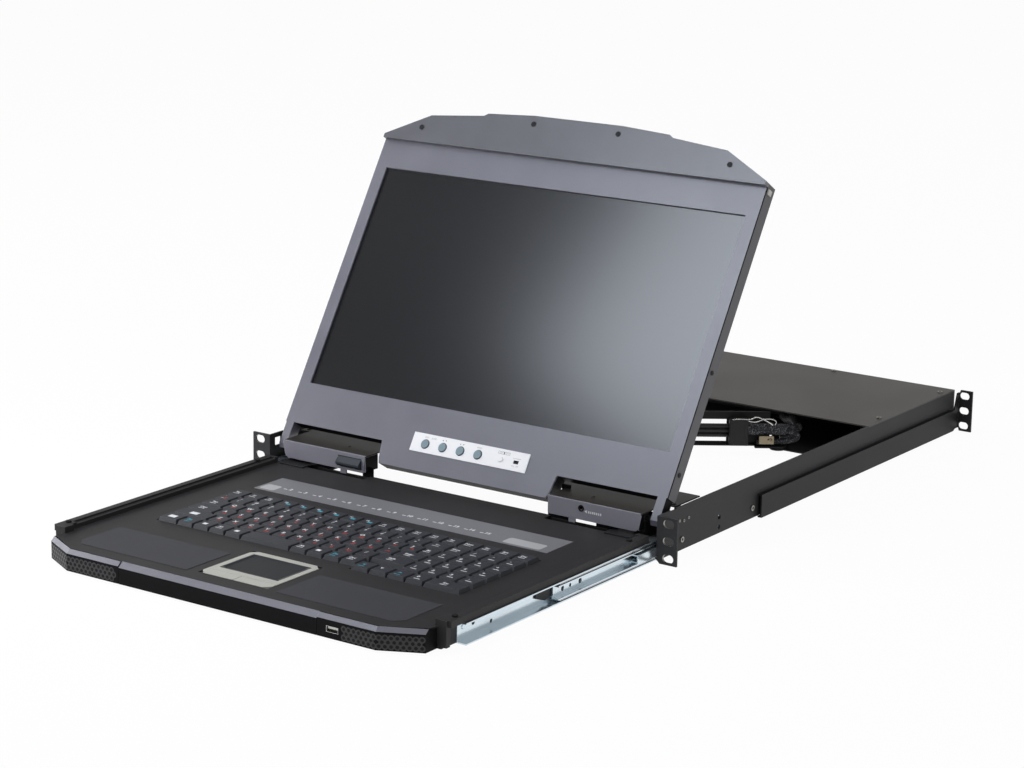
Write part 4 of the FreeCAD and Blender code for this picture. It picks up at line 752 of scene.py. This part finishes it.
def rounded_plate(shape, x, y, wide, tall, corner, low, high, place):
    """A closed flat plate with rounded corners, between two heights."""
    outline = rounded_line(x, y, wide, tall, corner, steps=5)
    rings = [[shape.verts.new(place @ Vector((px, py, z))) for px, py in outline] for z in (low, high)]
    for i in range(len(outline)):
        j = (i + 1) % len(outline)
        shape.faces.new((rings[0][i], rings[0][j], rings[1][j], rings[1][i]))
    shape.faces.new(rings[1])
    shape.faces.new(rings[0][::-1])


WINDOW_LINE, WINDOW_TALL, WINDOW_CORNER = -0.0790, 0.0150, 0.0030
windows = bmesh.new()
for x, wide in ((-0.1535, 0.0170), (0.1345, 0.0400)):
    rounded_plate(windows, x, WINDOW_LINE, wide, WINDOW_TALL, WINDOW_CORNER,
                  low=-0.0001, high=0.00005, place=strip_top)
new_piece("strip_windows", windows, "drawer", "label_grey", film_light)
SIGN_START, SIGN_PITCH, SIGN_LINE = -0.1530, 0.01725, -0.0745
DASH_START, DASH_PITCH, DASH_LINE = -0.1560, 0.0040, -0.0530
signs, shadows = Print(strip_top), Print(strip_top)
for number in range(15):
    x, y = SIGN_START + SIGN_PITCH * number, SIGN_LINE
    shadows.bar(x - 0.0026, y + 0.0016, 0.0046, 0.0024)
    shadows.bar(x + 0.0006, y - 0.0030, 0.0080, 0.0012)
    signs.word(str(number + 1), x + 0.0026, y + 0.0004, tall=0.0044, heavy=0.0003)
    signs.bar(x - 0.0030, y - 0.0008, 0.0040, 0.0014)
for number in range(9):
    shadows.bar(DASH_START + DASH_PITCH * number, DASH_LINE, 0.0026, 0.0016)
signs.done("strip_signs", "drawer", "label_white", ink_white)
shadows.done("strip_shadow_signs", "drawer", "label_grey", film_dim)

# ---------------------------------------------------------------- hinge covers and rear plate
# Painted lilac grey shells with bare black ends over the hinges. The left one holds the
# latch, and behind both a satin black plate closes the rear of the tray.
# The nearly white second colour mostly paints a strong highlight along the covers' edges.
cover_paint = moulded("cover_paint", (106, 104, 116), (236, 236, 246), rough=0.42, gloss=0.45, grain=2000.0)
dress(cover_paint, "hinge_covers")
part_faces("hinge_covers", bezel_black, lambda normal, middle: abs(normal.x) > 0.7)
latch_slate = moulded("latch_slate", (41, 46, 53), (92, 100, 108), rough=0.5, gloss=0.3)
dress(latch_slate, "release_latch")
plate_coat = powder_coat("plate_coat", (42, 40, 36), (100, 97, 90), rough=0.44, gloss=0.25)
dress(plate_coat, "rear_top_plate")
dress(bracket_powder, "hinges")
rubber = moulded("rubber", (20, 20, 20), (52, 52, 52), rough=0.75, gloss=0.25)
dress(rubber, "tray_bumpers")


# Where a sight line starts, before the covers.
BEFORE_COVERS = -0.05


def cover_front(x, z):
    """The place and the normal of the hinge covers' front, at a side and a height."""
    sight = Vector((x, BEFORE_COVERS, z)), Vector((0, 1, 0))
    met, place, normal, face = frame["nodes"]["hinge_covers"].ray_cast(*sight)
    return place, normal


def facing(place, normal):
    """A frame on a surface: X to the right, Y up the surface and Z out of it."""
    right = Vector((0, 0, 1)).cross(normal).normalized()
    turned = Matrix((right, normal.cross(right), normal)).transposed().to_4x4()
    return Matrix.Translation(place) @ turned


# The jack's middle, how far to its side the cover is whole, and the ring's section.
JACK_SIDE, JACK_HEIGHT, JACK_REACH = 0.1403, 0.0360, 0.0033
JACK_RING = [(0.0019, -0.0012), (0.0031, -0.0012), (0.0031, 0.0003), (0.0027, 0.0007),
             (0.0022, 0.0006), (0.0019, 0.0002), (0.0019, -0.0012)]
jack_place, jack_normal = cover_front(JACK_SIDE + JACK_REACH, JACK_HEIGHT)
jack_ring = bmesh.new()
jack_face = facing(Vector((JACK_SIDE, jack_place.y, JACK_HEIGHT)), jack_normal)
add_turned(jack_ring, JACK_RING, jack_face, steps=28)
new_piece("jack_ring", jack_ring, "drawer", "plastic_black", shade_and_jack_black)
# An arrow and a line of plain bars point at the jack.
PRINT_SIDE, PRINT_HEIGHT, ARROW_SIDE, BAR_START, BAR_PITCH = 0.158, 0.0336, -0.0125, -0.0094, 0.0021
cover_print = Print(facing(*cover_front(PRINT_SIDE, PRINT_HEIGHT)))
cover_print.word("<", ARROW_SIDE, 0.0, tall=0.0026, heavy=0.0004)
for number, wide in enumerate((0.0014, 0.0011, 0.0016, 0.0012, 0.0014, 0.0012, 0.0013)):
    cover_print.bar(BAR_START + BAR_PITCH * number, 0.0, wide, 0.0022)
cover_print.done("cover_print", "drawer", "label_white", ink_white)

# ---------------------------------------------------------------- ribs under the covers
# Black moulded ribs stand inside the hinge covers and at the ends of the rear plate. They
# close the hollow behind the hinges, apart from two slots for cables, and are moulded on.
RIB_CORNERS = (((-0.1125, 0.0075, 0.0195), (-0.0997, 0.0083, 0.0300)),
               ((0.1000, 0.0075, 0.0190), (0.1245, 0.0083, 0.0300)),
               ((0.1521, 0.0075, 0.0185), (0.1750, 0.0083, 0.0300)),
               ((0.1900, 0.0300, 0.0030), (0.2040, 0.0310, 0.0360)),
               ((0.1002, 0.0290, 0.0380), (0.1090, 0.0310, 0.0450)))
ribs = bmesh.new()
for low, high in RIB_CORNERS:
    add_box(ribs, low, high)
new_piece("cover_ribs", ribs, "drawer", "plastic_black", bezel_black)

# ---------------------------------------------------------------- display
# A wide panel in a painted bezel screwed to a black steel back. A raised cap closes the top,
# a white plate below the screen carries the controls, and the underside is left black.
bezel_paint = moulded("bezel_paint", (94, 94, 105), (160, 160, 172), rough=0.32, gloss=0.85, grain=2000.0)
dress(bezel_paint, "lcd_bezel")
# Its light second colour paints a bright highlight line along the cap's rims.
cap_paint = moulded("cap_paint", (66, 67, 75), (158, 158, 168), rough=0.32, gloss=0.95, grain=2000.0)
dress(cap_paint, "lcd_cap")
dress(bracket_powder, "lcd_rear_cover", "lcd_screws")
side_paint = moulded("side_paint", (72, 72, 76), (130, 130, 138), rough=0.4, gloss=0.4, grain=2000.0)


def outer_side(normal, middle):
    """Whether a face is on the left or right outside of the display."""
    return abs(normal.x) > 0.7 and abs(middle.x) > 0.21


def underside(normal, middle):
    """Whether a face looks down from the display's lower edge."""
    return normal.z < -0.5 and middle.z < 0.06


part_faces("lcd_rear_cover", side_paint, outer_side)
part_faces("lcd_rear_cover", bezel_black, underside)
part_faces("lcd_bezel", bezel_black, lambda normal, middle: (
    underside(normal, middle) or outer_side(normal, middle)))
screen = Finish("screen", Specular_IOR_Level=0.84)
screen.give("Base Color", screen.mixed(screen.noise(1.2), linear(12, 13, 17), linear(17, 18, 23)))
screen.give("Roughness", screen.noise(3.0) * 0.03 + 0.205)
dress(screen, "lcd_panel")
milky = moulded("milky", (206, 204, 198), (232, 232, 228), rough=0.5, gloss=0.4)
dress(milky, "lcd_bumpers")
plate_white = moulded("plate_white", (247, 247, 250), (253, 253, 254), rough=0.42, gloss=0.4)
dress(plate_white, "osd_plate", "lcd_power_button")
button_blue = moulded("button_blue", (122, 142, 152), (176, 194, 202), rough=0.35, gloss=0.5)
dress(button_blue, "osd_buttons")
dress(socket_black, "control_board")
paint_cross_shades("display_cross_shades", "lcd_screws", "display")
# The control plate's face, in a frame that leans back with the display.
DISPLAY_FOOT, DISPLAY_LEAN, PLATE_FACE = (0, 0.0156, 0.034), -31.39, -0.00658
control_face = (Matrix.Translation(DISPLAY_FOOT) @ Matrix.Rotation(math.radians(DISPLAY_LEAN), 4, "X")
                @ Matrix.Translation((0, PLATE_FACE, 0)) @ Matrix.Rotation(math.radians(90), 4, "X"))
ink_grey = ink("ink_grey", (170, 170, 176), (190, 190, 196), rough=0.5)
ink_dark = ink("ink_dark", (84, 84, 92), (110, 110, 118), rough=0.5)
BUTTON_LINE, POWER_SIDE, SWITCH_SIDE = 0.0247, 0.0358, 0.0532
MARK_LINE, SIGN_LINE = BUTTON_LINE + 0.0066, BUTTON_LINE + 0.0064
BUTTON_WORDS, BUTTON_ARROWS = {0: "EXIT", 3: "MENU"}, {1: "<^", 2: "v>"}
# A dark slate ring round each button is painted shade for the gap between the button and its hole.
WELL_SHADE = [(0.00405, -0.0004), (0.0047, -0.0004), (0.0047, 0.00006), (0.0044, 0.00016),
        (0.00405, 0.00006), (0.00405, -0.0004)]
faint, dark = Print(control_face), Print(control_face)
shown_buttons = solids_of("osd_buttons")
well_shades = bmesh.new()
for number, (low, high) in enumerate(shown_buttons):
    x = (low.x + high.x) / 2
    if number in BUTTON_WORDS:
        faint.word(BUTTON_WORDS[number], x, MARK_LINE, tall=0.0016)
    else:
        for side, sign in zip((-1, 1), BUTTON_ARROWS[number]):
            dark.word(sign, x + side * 0.0017, MARK_LINE, tall=0.0017, heavy=0.0001)
    add_turned(well_shades, WELL_SHADE, control_face @ Matrix.Translation((x, BUTTON_LINE, 0)), steps=36)
new_piece("button_well_shades", well_shades, "display", "plastic_gloss", latch_slate)
faint.word("AUTO", shown_buttons[0][1].x + 0.0042, SIGN_LINE, tall=0.0016)
# A thin frame with a short upright bar in it holds the power button's two words.
for x, y, wide, tall in ((0, 0.0011, 0.0132, 0.0002), (0, -0.0011, 0.0132, 0.0002),
                         (-0.0065, 0, 0.0002, 0.0022), (0.0065, 0, 0.0002, 0.0022),
                         (0, 0, 0.0011, 0.0020)):
    dark.bar(POWER_SIDE + 0.0022 + x, SIGN_LINE + y, wide, tall)
faint.word("LCD", POWER_SIDE - 0.0012, SIGN_LINE, tall=0.0013)
faint.word("POWER", POWER_SIDE + 0.0056, SIGN_LINE, tall=0.0011)
faint.bar(SWITCH_SIDE, BUTTON_LINE + 0.0034, 0.0090, 0.0003)
faint.word("ON   OFF", SWITCH_SIDE, BUTTON_LINE - 0.0040, tall=0.0013)
faint.done("control_signs_faint", "display", "label_white", ink_grey)
dark.done("control_signs_dark", "display", "label_white", ink_dark)

# ---------------------------------------------------------------- cable arm
# Two folded black steel links with windows fold and unfold behind the drawer as it slides.
# They turn on rivets at the tray, at the knee and at the housing floor.
dress(bracket_powder, "cable_arm_mount", "cable_arm_front", "cable_arm_rear")


def pivot(name):
    """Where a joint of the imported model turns."""
    return Vector(next(joint for joint in frame["record"]["behaviour"]["joints"]
                       if joint["name"] == name)["pos_m"])


# Each link lies along the X axis of its own frame, from its pivot.
ARM_TURN, LINK_TURN, LINK_LONG = 36.392, -62.8, 0.1248
ARM = Matrix.Translation(pivot("arm_front_swing")) @ Matrix.Rotation(math.radians(ARM_TURN), 4, "Z")
LINK = Matrix.Translation(pivot("arm_rear_swing")) @ Matrix.Rotation(math.radians(LINK_TURN), 4, "Z")

# ---------------------------------------------------------------- cables on the arm
# Three ribbed black conduits run along the front link into a moulded clamp, and go on as one bundle in a
# braided sleeve whose silver flecks are painted glints on its shinier threads.
conduit_black = moulded("conduit_black", (17, 17, 18), (64, 64, 66), rough=0.42, gloss=0.4)
clamp_black = moulded("clamp_black", (20, 20, 21), (72, 72, 74), rough=0.5, gloss=0.35)
braid_cloth = Finish("braid_cloth", Specular_IOR_Level=0.45)
# Threads brighter than this share of the pattern get a painted silver glint of this strength.
GLINT_FROM, GLINT_SHARE = 0.58, 0.7
thread = braid_cloth.noise(760.0, roughness=0.6)
painted_glint = (thread > GLINT_FROM) * GLINT_SHARE
painted_glint_and_weave = painted_glint + thread * 0.1
braid_cloth.give("Base Color", braid_cloth.mixed(painted_glint_and_weave, linear(12, 12, 13), linear(140, 142, 150)))
braid_cloth.give("Roughness", 0.62 - painted_glint * 0.3)
braid_cloth.relief(thread, depth=0.00012, normal=braid_cloth.rounded())


def spine(points, place):
    """Points along a smooth line: the NURBS spline that a route's points give."""
    line = bpy.data.curves.new("spine", "CURVE")
    line.dimensions, line.resolution_u = "3D", 16
    spline = line.splines.new("NURBS")
    spline.points.add(len(points) - 1)
    for made, point in zip(spline.points, points):
        made.co = (*(place @ Vector(point)), 1)
    spline.order_u = 3
    spline.use_endpoint_u = True
    holder = bpy.data.objects.new("spine", line)
    mesh = bpy.data.meshes.new_from_object(holder)
    followed = [vert.co.copy() for vert in mesh.vertices]
    bpy.data.objects.remove(holder)
    bpy.data.curves.remove(line)
    bpy.data.meshes.remove(mesh)
    return followed


def add_tube(shape, followed, width, step, steps):
    """A closed tube along a line. width gives the radius from the distance along and the angle,
    step is the distance between its rings, and steps is the number of points in a ring."""
    run, spots = 0.0, [(0.0, followed[0])]
    for first, last in zip(followed, followed[1:]):
        run += (last - first).length
        spots.append((run, last))
    count = max(4, int(run / step))
    rings, normal, index = [], None, 0
    for number in range(count + 1):
        away = run * number / count
        while index < len(spots) - 2 and spots[index + 1][0] < away:
            index += 1
        (start, a), (stop, b) = spots[index], spots[index + 1]
        middle = a.lerp(b, min(1.0, max(0.0, (away - start) / max(stop - start, 1e-9))))
        course = (b - a).normalized()
        normal = normal or course.orthogonal()
        normal = (normal - course * normal.dot(course)).normalized()
        side = course.cross(normal)
        rings.append([shape.verts.new(
            middle + (normal * math.cos(turned) + side * math.sin(turned)) * width(away, turned))
            for turned in (2 * math.pi * i / steps for i in range(steps))])
    for low, high in zip(rings, rings[1:]):
        for i in range(steps):
            j = (i + 1) % steps
            shape.faces.new((low[i], low[j], high[j], high[i]))
    shape.faces.new(rings[0][::-1])
    shape.faces.new(rings[-1])


# Strands each way round a sleeve, their slant, how far they stand out and how deep they lie,
# and the share of its radius that a sleeve's drawn in end keeps.
STRANDS, SLANT, STRAND_HIGH, STRAND_DEEP, DRAWN_IN = 8, 2600, 0.00026, 0.0003, 0.35


def braided(size, long=None):
    """The radius of a braided sleeve. Where its length is given, its far end is drawn in."""
    def width(away, turned):
        weave = math.sin(STRANDS * turned + away * SLANT) * math.sin(STRANDS * turned - away * SLANT)
        drawn = 1.0
        if long and away > long - size:
            drawn = max(DRAWN_IN, math.sqrt(max(0.0, 1 - ((away - long + size) / size) ** 2)))
        return (size - STRAND_DEEP + STRAND_HIGH * weave) * drawn
    return width


CONDUIT_START, CONDUIT_END, CONDUIT_SIDE = 0.012, 0.2905, 0.0026
CONDUIT_LOWEST, CONDUIT_PITCH, CONDUIT_RADIUS = 0.0112, 0.0048, 0.00222
RIB_DEPTH, RIB_PITCH, TUBE_STEP = 0.0001, 0.0024, 0.0006


def ribbed(away, turned):
    """The radius of a ribbed conduit."""
    return CONDUIT_RADIUS + RIB_DEPTH * math.sin(away * 2 * math.pi / RIB_PITCH)


conduits = bmesh.new()
for number in range(3):
    height = CONDUIT_LOWEST + CONDUIT_PITCH * number
    ends = [ARM @ Vector((end, CONDUIT_SIDE, height)) for end in (CONDUIT_START, CONDUIT_END)]
    add_tube(conduits, ends, ribbed, step=TUBE_STEP, steps=18)
# A thin web joins the three.
add_box(conduits, (0.013, 0.0021, 0.0100), (0.2895, 0.0031, 0.0220), ARM)
new_piece("arm_conduits", conduits, "arm_front", "sleeve", conduit_black)


def add_soft_block(shape, low, high, round_by):
    """A block on the front link with rounded edges."""
    add_box(shape, low, high, ARM)
    bmesh.ops.bevel(shape, geom=list(shape.edges), offset=round_by, segments=2, affect="EDGES")


# The clamp, with two shallow ridges across its outer face.
clamp = bmesh.new()
add_soft_block(clamp, (0.290, -0.0065, 0.002), (0.309, 0.0054, 0.029), round_by=0.0009)
for x in (0.2935, 0.3050):
    add_box(clamp, (x, -0.0068, 0.0035), (x + 0.0009, -0.0060, 0.0275), ARM)
new_piece("arm_clamp", clamp, "arm_front", "plastic_black", clamp_black)

# The bundle is a wide sleeve out of the clamp, and two thin ones that turn back at the knee.
WIDE_ROUTE = (0.3085, -0.001, 0.0184), (0.330, -0.001, 0.0184), (0.351, -0.001, 0.0184)
HIGH_LOOP = ((0.343, 0.001, 0.0205), (0.3585, 0.002, 0.0205), (0.3585, 0.002, 0.0100),
             (0.342, 0.002, 0.0085))
LOW_LOOP = ((0.345, -0.001, 0.0166), (0.3600, -0.001, 0.0166), (0.3588, -0.001, 0.0050),
            (0.318, -0.001, 0.0052))
bundle = bmesh.new()
add_tube(bundle, spine(WIDE_ROUTE, ARM), braided(0.006, long=0.0425), step=TUBE_STEP, steps=48)
add_tube(bundle, spine(HIGH_LOOP, ARM), braided(0.0036), step=TUBE_STEP, steps=36)
add_tube(bundle, spine(LOW_LOOP, ARM), braided(0.0033), step=TUBE_STEP, steps=36)
bundle_piece = new_piece("arm_bundle", bundle, "arm_front", "sleeve", braid_cloth)
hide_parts("arm_cable_front")
# One sleeve goes on along the rear link, from beside the knee down to the pivot.
REAR_ROUTE = ((0.92 * LINK_LONG, 0.0195, 0.0208), (0.60 * LINK_LONG, 0.0155, 0.0208),
              (0.28 * LINK_LONG, 0.0050, 0.0061), (0.012, 0.001, 0.0061))
rear_sleeve = bmesh.new()
add_tube(rear_sleeve, spine(REAR_ROUTE, LINK), braided(0.0044), step=TUBE_STEP, steps=40)
rear_piece = new_piece("arm_rear_sleeve", rear_sleeve, "arm_rear", "sleeve", braid_cloth)
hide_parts("arm_cable_rear")

# ---------------------------------------------------------------- wire clips and earth plate
# Bent spring wire holds the bundle on the clamp, and a small plated tab with a screw ties
# the cable shields to the link.
clip_steel = zinc_plate("clip_steel", (222, 222, 218), rough=0.18)
brass_plate = zinc_plate("brass_plate", (158, 146, 122), rough=0.38)
WIRE_RADIUS, WIRE_STEP = 0.00065, 0.0007
WIRE_ROUTES = (((0.293, -0.005, 0.0288), (0.300, -0.0052, 0.0300), (0.311, -0.0056, 0.0292),
                (0.317, -0.004, 0.0322), (0.323, -0.0045, 0.0300), (0.330, -0.006, 0.0268),
                (0.3335, -0.0065, 0.0240)),
               ((0.309, -0.0058, 0.0280), (0.316, -0.0064, 0.0262), (0.324, -0.0056, 0.0305),
                (0.334, -0.005, 0.0300), (0.338, -0.006, 0.0272), (0.3355, -0.0072, 0.0240)))
clips = bmesh.new()
for route in WIRE_ROUTES:
    add_tube(clips, spine(route, ARM), lambda away, turned: WIRE_RADIUS, step=WIRE_STEP, steps=12)
new_piece("wire_clips", clips, "arm_front", "steel_bright", clip_steel)
TAB_SCREW = [(0, -0.0006), (0.0024, -0.0006), (0.0024, 0.0004), (0.0017, 0.0010), (0.0006, 0.0012),
             (0.0005, 0.0006), (0, 0.0006)]
tab = bmesh.new()
add_soft_block(tab, (0.3200, -0.0083, 0.0045), (0.3350, -0.0068, 0.0130), round_by=0.0004)
add_turned(tab, TAB_SCREW, ARM @ looking((0, -1, 0), (0.3308, -0.0083, 0.0085)), steps=24)
new_piece("earth_tab", tab, "arm_front", "steel_zinc", brass_plate)
